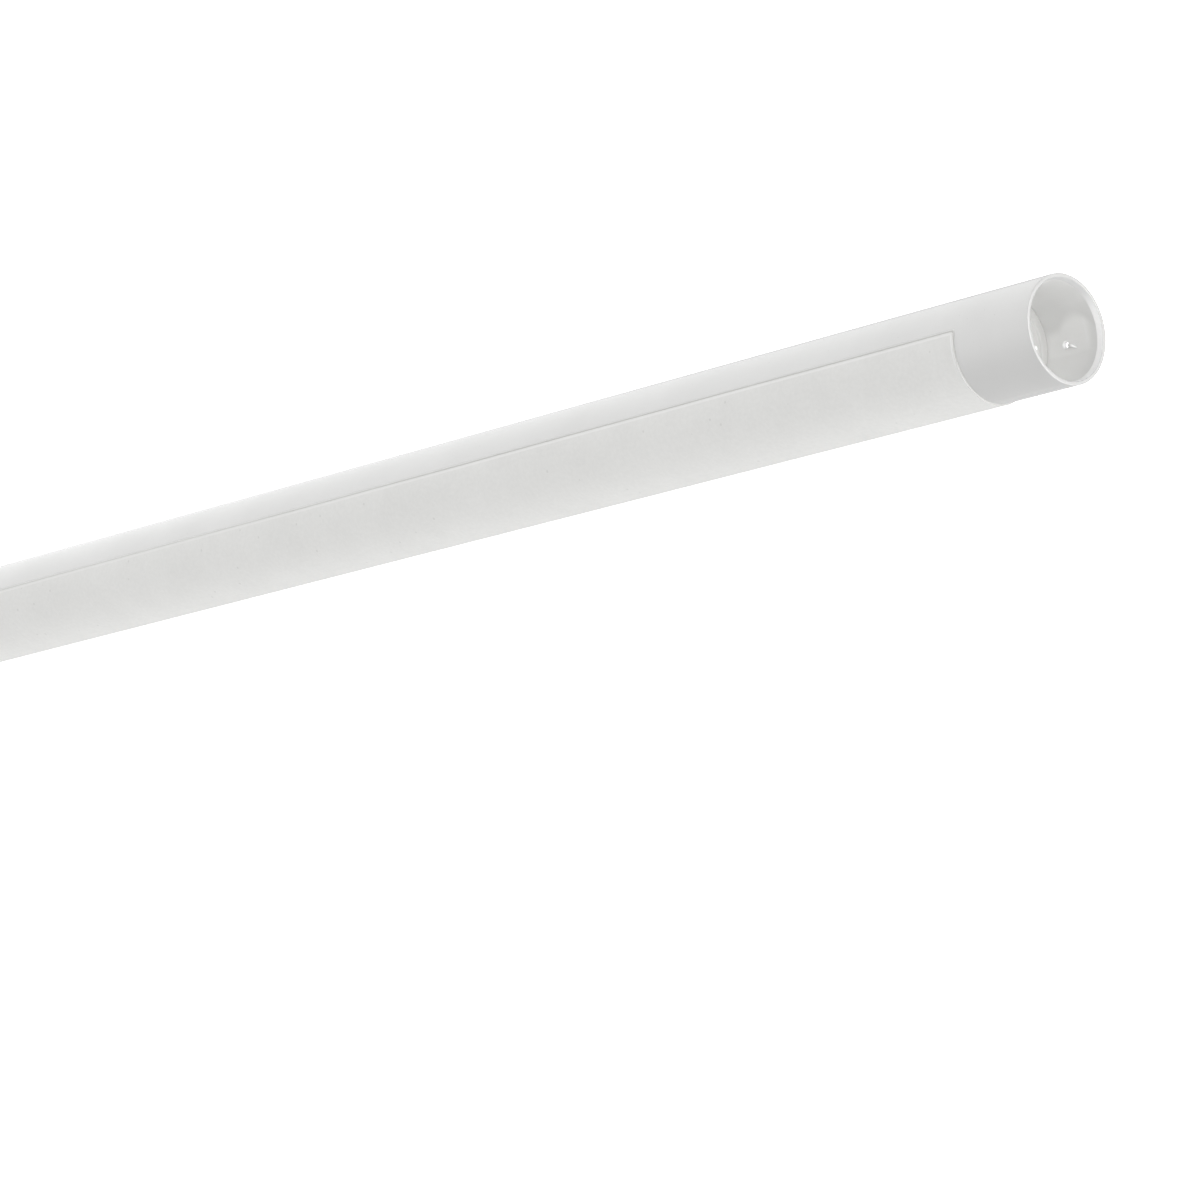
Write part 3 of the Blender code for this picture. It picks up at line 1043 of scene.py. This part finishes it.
# ==== the film ==============================================================================
@dataclass
class FilmStrip:
    """A strip of film laid along a tube, with cut edges, a soft corner and its adhesive."""

    number: int
    thickness: float = 0.15 * MM
    foot: float = 0.30 * MM
    end_foot: float = 0.05 * MM
    lift: float = 0.012 * MM
    corner: float = 0.3 * MM
    lip: float = 0.02 * MM
    wobble: float = 0.03 * MM

    def __post_init__(self) -> None:
        """Read where the strip lies."""
        self.start, self.end = span(f"film_{self.number}")[:2]

    def edge_lines(self, length: float, foot: float, step: float) -> Array:
        """Return places from one edge's foot to the other's, crowded where the film drops.

        Args:
            length: How far apart the two edges are.
            foot: How far the glue reaches past each edge.
            step: The widest gap in the middle.

        Returns:
            Places in rising order, zero at the first edge.
        """
        outside = -foot * np.array([1.0, 0.8, 0.6, 0.4, 0.2, 0.1, 0.04])
        inside = np.array([0.0, 0.008, 0.016, 0.03, 0.06, 0.1, 0.2, 0.3, 0.38, 0.46, 0.9]) * MM
        near = np.concatenate([outside, inside])
        middle = lines_between([0.9 * MM, length - 0.9 * MM], step)[1:-1]
        return np.concatenate([near, middle, length - near[::-1]])

    def inset(self, along: Array, across: Array, length: float) -> Array:
        """Return how far inside the strip's outline a developed point lies.

        The outline is a rectangle with rounded corners, and a few slow waves stand for a
        hand-drawn knife.

        Args:
            along: Distances from the strip's upper end.
            across: Distances from its front edge.
            length: The strip's length.

        Returns:
            Distances inside the outline, below zero outside it.
        """
        wave = np.sin(along / (17 * MM) + self.number) + 0.6 * np.sin(along / (5.3 * MM) + 2.0)
        wave = wave * self.wobble / 1.6
        end_wave = np.sin(across / (4.1 * MM) + self.number) * self.wobble
        from_edge = np.minimum(across, FILM_WIDTH - across) + wave
        from_end = np.minimum(along, length - along) + end_wave
        from_end = np.where(from_end < 0, from_end * self.foot / self.end_foot, from_end)
        short = self.corner
        dx, dy = np.minimum(from_end - short, 0), np.minimum(from_edge - short, 0)
        in_corner = short - np.hypot(dx, dy)
        return np.where((dx < 0) & (dy < 0), in_corner, np.minimum(from_edge, from_end))

    def height(self, inset: Array) -> Array:
        """Return the film's height above the tube at this distance inside its outline.

        Args:
            inset: Distances inside the outline.

        Returns:
            Heights above the tube: a foot of glue, the sheet, and the lip that cutting raised.
        """
        glue = 0.03 * MM * smooth(-self.foot, -0.01 * MM, inset)
        sheet = (self.thickness - 0.03 * MM) * smooth(-0.014 * MM, 0.016 * MM, inset)
        lip = self.lip * np.exp(-((inset - 0.05 * MM) / (0.045 * MM)) ** 2)
        return glue + sheet + lip * (inset > 0)

    def stain(self, along: Array, across: Array, inset: Array, length: float) -> Array:
        """Return the edge's mark: 0.5 on the sheet, 0 on its cut lip's painted highlight, up to 1
        on glue with a painted shadow line.

        The long edge's line darkens towards the strip's lower end, and each end's painted shadow
        is darkest at its first corner.

        Args:
            along: Distances from the strip's upper end.
            across: Distances from its front edge.
            inset: Distances inside the outline.
            length: The strip's length.

        Returns:
            One mark for each point.
        """
        glue = smooth(-self.foot, -0.6 * self.foot, inset)
        glue = glue * (1 - smooth(0.0, 0.024 * MM, inset))
        corner = 1 - smooth(2.2 * MM, 4.8 * MM, across)
        on_end = 1 - smooth(0.2 * MM, 0.5 * MM, np.minimum(along, length - along))
        low = smooth(length - 150 * MM, length - 60 * MM, along)
        seam = 0.26 + 0.2 * low
        # Glue, darkened further by a painted shadow line along the edge.
        glue_and_painted_shadow = glue * (seam * (1 - on_end) + (0.36 + 0.1 * corner) * on_end)
        # The pale cut lip is a painted highlight.
        cut = smooth(0.07 * MM, 0.14 * MM, inset) * (1 - smooth(0.31 * MM, 0.43 * MM, inset))
        cut = (0.5 + 0.25 * low) * cut * (1 - on_end * (1 - corner))
        return 0.5 + 0.5 * np.clip(glue_and_painted_shadow, 0, 1) - 0.5 * cut

    def make(self, finishes: Finishes) -> Object:
        """Make the strip: a height field over the tube, closed by its underside.

        Args:
            finishes: The cane's materials.

        Returns:
            The strip.
        """
        length = self.end - self.start
        along = self.edge_lines(length, self.end_foot, 1.2 * MM)[:, None]
        across = self.edge_lines(FILM_WIDTH, self.foot, 0.45 * MM)[None, :]
        inset = self.inset(along, across, length)
        angle = FILM_EDGE_ANGLE + across / TUBE_RADIUS
        base = TUBE_RADIUS + self.lift
        x = self.start + along
        top = on_axis(x, base + self.height(inset) + 0.002 * MM, angle)
        under = on_axis(x, base, angle + 0 * along)
        mark = self.stain(along, across, inset, length)
        rim = [np.stack([a, b]) for a, b in (
            (top[0], under[0]), (top[-1], under[-1]), (top[:, 0], under[:, 0]),
            (top[:, -1], under[:, -1]))]
        patches = [Patch(top, mark=mark), Patch(under, mark=mark * 0 + 0.5)]
        patches += [Patch(side, mark=np.full(side.shape[:2], 0.5)) for side in rim]
        return assemble(f"film_strip_{self.number}", patches, [finishes.film],
                        sharp=math.radians(60))


# ==== spigots, liners and pins ==============================================================
@dataclass
class Joint:
    """The spigot, its pin and the liner below it, at one joint of the cane."""

    number: int
    nose_radius: float = 4.91 * MM
    cord_bore: float = 2.6 * MM
    taper: float = 6.0 * MM
    tip_wall: float = 1.1 * MM
    shoulder: float = 0.6 * MM
    liner_wall: float = 0.7 * MM
    pin_radius: float = 1.2 * MM

    def __post_init__(self) -> None:
        """Read where the upper tube ends, which is the joint's face."""
        self.face = span(f"tube_{self.number}")[1]

    def spigot(self, finishes: Finishes) -> Object:
        """Make the spigot: a shank, a shoulder, and a nose with oil grooves and a taper.

        Args:
            finishes: The cane's materials.

        Returns:
            The spigot.
        """
        start, end, shank = span(f"spigot_{self.number}")
        shoulder = self.face - self.shoulder
        nose, groove = self.nose_radius, 0.18 * MM
        corners = [(start, shank), (shoulder, shank), (shoulder, nose)]
        for place in (8 * MM, 20 * MM, 32 * MM):
            x = shoulder + place
            corners += [(x, nose), (x + 0.25 * MM, nose - groove),
                        (x + 0.95 * MM, nose - groove), (x + 1.2 * MM, nose)]
        corners += [(end - self.taper, nose), (end, self.cord_bore + self.tip_wall),
                    (end, self.cord_bore), (start, self.cord_bore)]
        return turned(f"turned_spigot_{self.number}", eased(corners, 0.25 * MM),
                      [finishes.spigot])

    def liner(self, finishes: Finishes) -> Object:
        """Make the liner below the joint: a plastic sleeve with a funnelled mouth.

        Args:
            finishes: The cane's materials.

        Returns:
            The liner.
        """
        start, end, outer = span(f"socket_liner_{self.number + 1}")
        bore = outer - self.liner_wall
        corners = [(start, outer), (end, outer), (end, bore), (start + 1.0 * MM, bore),
                   (start, bore + 0.45 * MM)]
        return turned(f"moulded_liner_{self.number + 1}", eased(corners, 0.12 * MM),
                      [finishes.liner])

    def pin(self, finishes: Finishes) -> Object:
        """Make the pin: a round bar along a radius, its head domed and punched once.

        Args:
            finishes: The cane's materials.

        Returns:
            The pin.
        """
        x = self.face - PIN_INSET
        inner, outer = self.cord_bore + 0.3 * MM, TUBE_RADIUS - 0.1 * MM
        r, dome = self.pin_radius, 0.12 * MM
        radii = np.concatenate([[0], r * np.array([0.16, 0.3, 0.42, 0.7, 0.9, 0.98, 1.0, 1.0,
                                                   0.94, 0])])
        crown = dome * (1 - (radii[:8] / r) ** 2)
        punch = -0.16 * MM * np.exp(-(radii[:8] / (0.28 * r)) ** 2)
        heights = np.concatenate([outer - dome + crown + punch, [inner + 0.1 * MM, inner, inner]])
        bearing = np.arange(32)[None, :] * TURN / 32
        across, along = radii[:, None] * np.sin(bearing), radii[:, None] * np.cos(bearing)
        up = heights[:, None]
        sine, cosine = math.sin(PIN_ANGLE), math.cos(PIN_ANGLE)
        y = -up * sine - across * cosine
        z = AXIS_HEIGHT + up * cosine - across * sine
        points = np.stack(np.broadcast_arrays(x + along, y, z), axis=-1)
        return assemble(f"drive_pin_{self.number}", [Patch(points, close_columns=True)],
                        [finishes.pin])


# ==== the cord and its anchors ==============================================================
@dataclass
class ElasticCord:
    """The elastic cord, in one stretch for each joint that it crosses."""

    radius: float = 2.0 * MM
    yarns: int = 8
    plait: float = 12.0 * MM
    crown: float = 0.11 * MM
    sides: int = 48
    fine_step: float = 0.3 * MM
    coarse_step: float = 4.0 * MM
    shown_before: float = 4.0 * MM
    shown_after: float = 56.0 * MM
    give_before: float = 40.0 * MM
    give_after: float = 80.0 * MM

    def stretch(self, name: str, start: float, end: float, joint: float,
                finishes: Finishes) -> Object:
        """Make one stretch of braided cord.

        The radius is the cord's own plus the height of two crossing families of yarns,
        max(cos(na + kx), cos(na - kx)), which fades out where tubes always hide the cord.

        Args:
            name: The piece's name.
            start: Where the stretch starts along X.
            end: Where it ends.
            joint: Where the joint that it crosses lies.
            finishes: The cane's materials.

        Returns:
            The stretch.
        """
        low, high = joint - self.shown_before, joint + self.shown_after
        x = np.concatenate([
            lines_between([start, low], self.coarse_step)[:-1],
            lines_between([low, high], self.fine_step)[:-1],
            lines_between([high, end], self.coarse_step),
        ])[:, None]
        angle = (np.arange(self.sides) * TURN / self.sides)[None, :]
        turns = TURN * self.yarns / self.plait * x
        left, right = np.cos(self.yarns * angle + turns), np.cos(self.yarns * angle - turns)
        height = np.maximum(left, right)
        shown = smooth(low - 2 * MM, low, x) * (1 - smooth(high, high + 2 * MM, x))
        radius = self.radius - self.crown + self.crown * height * shown
        # The yarns' height is the mark that paints shade between them.
        body = Patch(on_axis(x, radius, angle), close_columns=True,
                     mark=np.clip(0.5 + 0.5 * height, 0, 1))
        caps = [self.cap(body.points[row]) for row in (0, -1)]
        return assemble(name, [body, *caps], [finishes.sheath])

    def cap(self, ring: Array) -> Patch:
        """Close an end with rings that shrink to its middle.

        Args:
            ring: The end's points.

        Returns:
            The patch that closes it.
        """
        middle = ring.mean(axis=0)
        shares = np.array([1.0, 0.6, 0.0])[:, None, None]
        return Patch(middle + (ring[None] - middle) * shares, close_columns=True,
                     mark=np.full((3, len(ring)), 0.5))

    def make(self, finishes: Finishes) -> None:
        """Make every stretch, each across its own joint, and hide the frame's cord.

        Args:
            finishes: The cane's materials.
        """
        start, end, _ = span("elastic_cord")
        tubes = [span(f"tube_{number}") for number in SECTIONS]
        joints = [tube[1] for tube in tubes[:-1]]
        middles = [(tube[0] + tube[1]) / 2 for tube in tubes[1:-1]]
        cuts = [start, *middles, end]
        for index, joint in enumerate(joints):
            piece = self.stretch(f"elastic_cord_{index + 1}", cuts[index], cuts[index + 1],
                                 joint, finishes)
            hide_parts("elastic_cord")
            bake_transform(piece)
            LOG.info("made %s", piece.name)


@dataclass
class Anchors:
    """What holds the cord's two ends: crimps, and the plug behind the mouth."""

    crimp_bore: float = 2.1 * MM
    dents: int = 6
    dent_depth: float = 0.16 * MM

    def crimp(self, node: str, name: str, finishes: Finishes) -> Object:
        """Make a crimped ferrule: a short tube whose middle is pressed in six places.

        Args:
            node: The node that it stands for.
            name: The piece's name.
            finishes: The cane's materials.

        Returns:
            The ferrule.
        """
        start, end, radius = span(node)
        x = np.linspace(start, end, 24)
        outer = np.stack([x, np.full_like(x, radius)], 1)
        outline = np.concatenate([outer, [(end, self.crimp_bore), (start, self.crimp_bore)]])
        outline[0, 1] = outline[23, 1] = radius - 0.2 * MM
        share = (outline[:, 0] - start) / (end - start)
        pressed = smooth(0.15, 0.3, share) * (1 - smooth(0.7, 0.85, share))
        pressed = pressed * (outline[:, 1] > self.crimp_bore + 0.1 * MM)
        around = (np.arange(48) * TURN / 48)[None, :]
        ripple = -self.dent_depth * pressed[:, None] * (0.5 + 0.5 * np.cos(self.dents * around))
        return turned(name, outline, [finishes.crimp], sides=48, ripple=ripple)

    def plug(self, finishes: Finishes) -> Object:
        """Make the moulded plug: its face has a raised ring round the cord's recess.

        Args:
            finishes: The cane's materials.

        Returns:
            The plug.
        """
        start, end, radius = span("lower_anchor")
        recess, bore, bead = 3.35 * MM, 2.6 * MM, TUBE_BORE - 0.004 * MM
        floor = end - 7.1 * MM
        corners = [
            (start, radius), (end - 0.6 * MM, radius), (end - 0.35 * MM, bead),
            (end - 0.06 * MM, bead), (end, bead - 0.10 * MM), (end, recess + 1.35 * MM),
            (end - 0.25 * MM, recess + 1.2 * MM), (end - 0.25 * MM, recess + 0.6 * MM),
            (end, recess + 0.45 * MM), (end, recess), (floor, recess), (floor, bore),
            (start, bore),
        ]
        return turned("cord_anchor_plug", eased(corners, 0.12 * MM), [finishes.plug])


# ==== the grip ==============================================================================
@dataclass
class Grip:
    """The rubber grip with its flat side, and the cap in its end."""

    columns: int = 192
    step: float = 0.55 * MM
    flat_round: float = 0.5 * MM
    collar: float = 13.0 * MM
    field_end: float = 0.80
    diamonds: int = 12
    groove_depth: float = 0.35 * MM
    rib_pitch: float = 3.2 * MM
    ring_width: float = 0.55 * MM
    bore_fit: float = 0.1 * MM
    walls: tuple[float, ...] = (6.2 * MM, 6.2 * MM, 5.2 * MM, 5.2 * MM, 3.5 * MM, 1.8 * MM)
    shares: tuple[float, ...] = (0.0, 0.03, 0.09, 0.80, 0.95, 1.0)

    def relief(self, x: Array, angle: Array, length: float) -> Array:
        """Return the depth of the moulded pattern.

        Two families of grooves cross along |sin(na/2 + kx)| and |sin(na/2 - kx)|, which
        leaves diamonds; rings close the field at both ends, and the flat keeps only ribs.

        Args:
            x: Places from the grip's upper end.
            angle: Angles round the axis.
            length: The grip's length.

        Returns:
            The depth at each point, as a share of the groove's depth.
        """
        k = self.diamonds / 2 / (TUBE_RADIUS + self.walls[3])
        one = abs(np.sin(self.diamonds / 2 * angle + k * x))
        two = abs(np.sin(self.diamonds / 2 * angle - k * x))
        diamonds = 1 - smooth(0.06, 0.30, np.minimum(one, two))
        field_mask = smooth(self.collar + 4 * MM, self.collar + 5 * MM, x)
        field_mask = field_mask * (1 - smooth(length * self.field_end - 12 * MM,
                                              length * self.field_end - 11 * MM, x))
        from_bottom = abs(np.mod(angle, TURN) - math.pi)
        off_flat = smooth(0.62, 0.70, from_bottom)
        ribs = (0.5 + 0.5 * np.cos(TURN * x / self.rib_pitch)) ** 6
        ribs = ribs * (1 - smooth(0.42, 0.50, from_bottom))
        rings = np.zeros_like(x)
        # Pairs of rings: at the collar, past the diamonds, and by the lower end.
        for place in (self.collar, self.collar + 2.4 * MM, length * self.field_end - 8 * MM,
                      length * self.field_end - 5 * MM, length - 9 * MM, length - 6 * MM):
            rings = rings + np.exp(-((x - place) / self.ring_width) ** 2)
        pattern = diamonds * off_flat * field_mask + 0.35 * ribs * field_mask
        return np.clip(pattern + 1.2 * rings * np.ones_like(angle), 0, 1.3)

    def grip(self, finishes: Finishes) -> Object:
        """Make the grip: a turned shape with a moulded relief, its underside pressed flat.

        Args:
            finishes: The cane's materials.

        Returns:
            The grip.
        """
        low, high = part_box("grip")
        length = high.x - low.x
        flat = AXIS_HEIGHT - low.z
        x = lines_between([0.5 * MM, length - 0.5 * MM], self.step)[:, None]
        angle = (np.arange(self.columns) * TURN / self.columns)[None, :]
        wall = np.interp(x, np.array(self.shares) * length, self.walls)
        relief = self.relief(x, angle, length)
        radius = TUBE_RADIUS + wall - self.groove_depth * relief
        body = self.pressed(low.x + x, radius, angle, flat, relief)
        bore = TUBE_RADIUS + self.bore_fit
        t = np.linspace(0, 1, 5)[:, None]
        ends = []
        for row, edge in ((0, low.x), (-1, high.x)):
            start = radius[row][None, :]
            ease = 0.9 * MM if row == 0 else 0.5 * MM
            rounded = start - ease * (1 - np.cos(t * math.pi / 2))
            place = low.x + x[row] + (edge - low.x - x[row]) * np.sin(t * math.pi / 2)
            inner = np.concatenate([rounded, np.full((1, self.columns), bore)])
            place = np.concatenate([place, [[edge]]])
            place = place * np.ones((1, self.columns))
            ends.append(self.pressed(place, inner, angle, flat, np.zeros_like(inner)))
        inside = Patch(on_axis(np.array([[low.x], [high.x]]), bore, angle), close_columns=True)
        return assemble("rubber_grip", [body, *ends, inside], [finishes.rubber],
                        sharp=math.radians(55))

    def pressed(self, x: Array, radius: Array, angle: Array, flat: float, mark: Array) -> Patch:
        """Return a grid whose underside is held at the flat by a rounded maximum.

        The height is (a + b + sqrt((a - b)^2 + k^2)) / 2 of the round shape's height a and
        the flat's height b, so the two meet in a curve k wide.

        Args:
            x: Places along the cane.
            radius: Radii before pressing.
            angle: Angles round the axis.
            flat: How far below the axis the flat lies.
            mark: The relief, which the finish reads.

        Returns:
            The patch.
        """
        points = on_axis(x, radius, angle)
        a, b = points[..., 2] - AXIS_HEIGHT, -flat
        k = self.flat_round
        blend = (a + b + np.sqrt((a - b) ** 2 + k * k)) / 2
        points[..., 2] = AXIS_HEIGHT + np.maximum(blend, b)
        return Patch(points, close_columns=True, mark=np.clip(mark, 0, 1))

    def cap(self, finishes: Finishes) -> Object:
        """Make the cap: a turned plug with a grooved head and a strap hole across it.

        Args:
            finishes: The cane's materials.

        Returns:
            The cap.
        """
        start, end, radius = span("grip_cap")
        seat = span("grip")[0] - 0.3 * MM
        shank, bore, recess = TUBE_BORE - 0.08 * MM, 2.6 * MM, 3.35 * MM
        floor = end - 5.0 * MM
        corners = [
            (start, recess + 1.5 * MM), (start + 0.3 * MM, recess + 1.65 * MM),
            (start + 0.3 * MM, recess + 2.35 * MM), (start, recess + 2.5 * MM),
            (start, radius - 1.6 * MM), (start + 1.6 * MM, radius), (seat - 1.6 * MM, radius),
            (seat - 1.3 * MM, radius - 0.35 * MM), (seat - 0.7 * MM, radius - 0.35 * MM),
            (seat - 0.4 * MM, radius), (seat, radius), (seat, shank), (end, shank),
            (end, bore), (floor, bore), (floor, recess), (start + 0.5 * MM, recess),
            (start, recess + 0.5 * MM),
        ]
        cap = turned("strap_cap", eased(corners, 0.35 * MM), [finishes.cap])
        self.cross_hole(cap, (start + seat) / 2, 3.2 * MM)
        return cap

    def cross_hole(self, target: Object, x: float, radius: float) -> None:
        """Bore a round hole through a piece along Y and weld the cut into its mesh.

        Args:
            target: The piece, changed in place.
            x: Where the hole's axis crosses the cane's.
            radius: The hole's radius.
        """
        work = bmesh.new()
        bmesh.ops.create_cone(work, cap_ends=True, segments=64, radius1=radius, radius2=radius,
                              depth=60 * MM)
        bmesh.ops.rotate(work, verts=work.verts, matrix=Matrix.Rotation(math.pi / 2, 3, "X"))
        bmesh.ops.translate(work, verts=work.verts, vec=Vector((x, 0, AXIS_HEIGHT)))
        mesh = bpy.data.meshes.new("strap_hole_cutter")
        work.to_mesh(mesh)
        work.free()
        cutter = bpy.data.objects.new("strap_hole_cutter", mesh)
        bpy.context.scene.collection.objects.link(cutter)
        boolean = target.modifiers.new("strap_hole", "BOOLEAN")
        boolean.object, boolean.solver = cutter, "EXACT"
        graph = bpy.context.evaluated_depsgraph_get()
        result = bpy.data.meshes.new_from_object(target.evaluated_get(graph))
        target.modifiers.clear()
        target.data = result
        result.shade_smooth()
        result.set_sharp_from_angle(angle=SHARP_ANGLE)
        bpy.data.objects.remove(cutter)


# ==== studio ================================================================================
class SoftLight(Enum):
    """Soft lights as (azimuth, elevation, half width, power), with the angles in degrees.

    A negative power is a dark flag, which takes light away from its side.
    """

    LONG_SIDE_BANK = (176.0, 21.0, 90.0, 1.44)
    LOW_FRONT_BANK = (-54.0, -53.0, 64.0, 1.52)
    MOUTH_BANK = (-5.0, 12.0, 62.0, 2.0)
    DARK_FLAG = (-126.0, -25.0, 64.0, -0.28)
    DARK_SKIRTING = (132.0, -13.0, 9.0, -0.75)


@dataclass
class Studio:
    """The plain white sweep, its soft light, and the camera."""

    lens_mm: float = 156.77
    camera: tuple[float, float, float] = (0.96256, -0.38174, 0.23095)
    aim: tuple[float, float, float] = (0.54417, -0.04422, 0.01802)
    roll_degrees: float = 37.85
    surround: float = 0.15
    floor_size: float = 60.0
    floor_drop: float = 0.2 * MM
    floor_glow: float = 0.62

    def make_camera(self) -> None:
        """Place the camera: look at the aim point, then roll about the line of sight."""
        data = bpy.data.cameras.new("camera")
        data.lens, data.sensor_width = self.lens_mm, 36.0
        data.clip_start, data.clip_end = 0.01, 200.0
        camera = bpy.data.objects.new("camera", data)
        bpy.context.scene.collection.objects.link(camera)
        sight = Vector(self.aim) - Vector(self.camera)
        level = sight.to_track_quat("-Z", "Y").to_matrix().to_4x4()
        roll = Matrix.Rotation(math.radians(-self.roll_degrees), 4, "Z")
        camera.matrix_world = Matrix.Translation(self.camera) @ level @ roll
        bpy.context.scene.camera = camera

    def make_floor(self) -> None:
        """Lay the pale floor: a white sheet lit so evenly that shadows on it wash out."""
        mesh = bpy.data.meshes.new("floor")
        half, low = self.floor_size / 2, -self.floor_drop
        corners = [(-half, -half, low), (half, -half, low), (half, half, low), (-half, half, low)]
        mesh.from_pydata(corners, [], [(0, 1, 2, 3)])
        floor = bpy.data.objects.new("floor", mesh)
        bpy.context.scene.collection.objects.link(floor)
        material, _, shader = Finish("white_sweep", "#F4F4F4", 0.9).start()
        shader.inputs["Emission Color"].default_value = (1, 1, 1, 1)
        shader.inputs["Emission Strength"].default_value = self.floor_glow
        mesh.materials.append(material)
        floor.visible_diffuse = False
        floor.visible_glossy = False
        floor.visible_shadow = False

    def make_world(self) -> None:
        """Light from all round: each soft light is a smooth lobe on a dim white surround."""
        world = bpy.data.worlds.new("studio")
        bpy.context.scene.world = world
        world.use_nodes = True
        tree = world.node_tree
        tree.nodes.clear()
        direction = add(tree, "ShaderNodeTexCoord").outputs["Generated"]
        strength = self.surround
        for light in SoftLight:
            azimuth, elevation, half_width, power = light.value
            a, e = math.radians(azimuth), math.radians(elevation)
            centre = (math.cos(e) * math.cos(a), math.cos(e) * math.sin(a), math.sin(e))
            near = add(tree, "ShaderNodeVectorMath", {"operation": "DOT_PRODUCT"},
                       i0=direction, i1=centre).outputs["Value"]
            lobe = add(tree, "ShaderNodeMapRange", {"interpolation_type": "SMOOTHSTEP"},
                       i0=near, i1=math.cos(math.radians(half_width)), i2=1.0, i3=0.0, i4=power)
            strength = maths(tree, "ADD", strength, lobe.outputs[0])
        strength = maths(tree, "MAXIMUM", strength, 0.05)
        lit = add(tree, "ShaderNodeBackground", Color=(1, 1, 1, 1), Strength=strength)
        seen = add(tree, "ShaderNodeBackground", Color=(1, 1, 1, 1), Strength=1.0)
        path = add(tree, "ShaderNodeLightPath").outputs["Is Camera Ray"]
        mix = add(tree, "ShaderNodeMixShader", i0=path, i1=lit.outputs[0], i2=seen.outputs[0])
        add(tree, "ShaderNodeOutputWorld", i0=mix.outputs[0])

    def make(self) -> None:
        """Set up the camera, the floor and the light."""
        self.make_camera()
        self.make_floor()
        self.make_world()
        bpy.context.scene.view_settings.view_transform = "Standard"


# ==== the cane ==============================================================================
def mount(piece: Object, body: str, node: str) -> None:
    """Let a piece ride on its body and stand for its CAD node, which is hidden.

    Args:
        piece: The piece.
        body: The body that carries it.
        node: The node that it stands for.
    """
    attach(piece, body)
    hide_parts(node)
    LOG.info("made %s on %s", piece.name, body)


def main() -> None:
    """Build the studio and the cane."""
    logging.basicConfig(level=logging.INFO)
    Studio().make()
    finishes = Finishes()
    ElasticCord().make(finishes)
    for number, body in zip(SECTIONS, BODIES):
        last = number == SECTIONS[-1]
        tube = Tube(number, 1.28 * MM)
        if last:
            tube = Tube(number, 0.42 * MM, columns=288, mouth_step=0.14 * MM)
        mount(tube.make(finishes), body, f"tube_{number}")
        mount(FilmStrip(number).make(finishes), body, f"film_{number}")
        if not last:
            joint = Joint(number)
            mount(joint.spigot(finishes), body, f"spigot_{number}")
            mount(joint.pin(finishes), body, f"spigot_pin_{number}")
            mount(joint.liner(finishes), BODIES[number], f"socket_liner_{number + 1}")
    anchors = Anchors()
    mount(anchors.crimp("upper_crimp", "crimped_ferrule_upper", finishes), BODIES[0],
          "upper_crimp")
    mount(anchors.crimp("lower_crimp", "crimped_ferrule_lower", finishes), BODIES[-1],
          "lower_crimp")
    mount(anchors.plug(finishes), BODIES[-1], "lower_anchor")
    grip = Grip()
    mount(grip.grip(finishes), BODIES[0], "grip")
    mount(grip.cap(finishes), BODIES[0], "grip_cap")


if __name__ == "__main__":
    main()
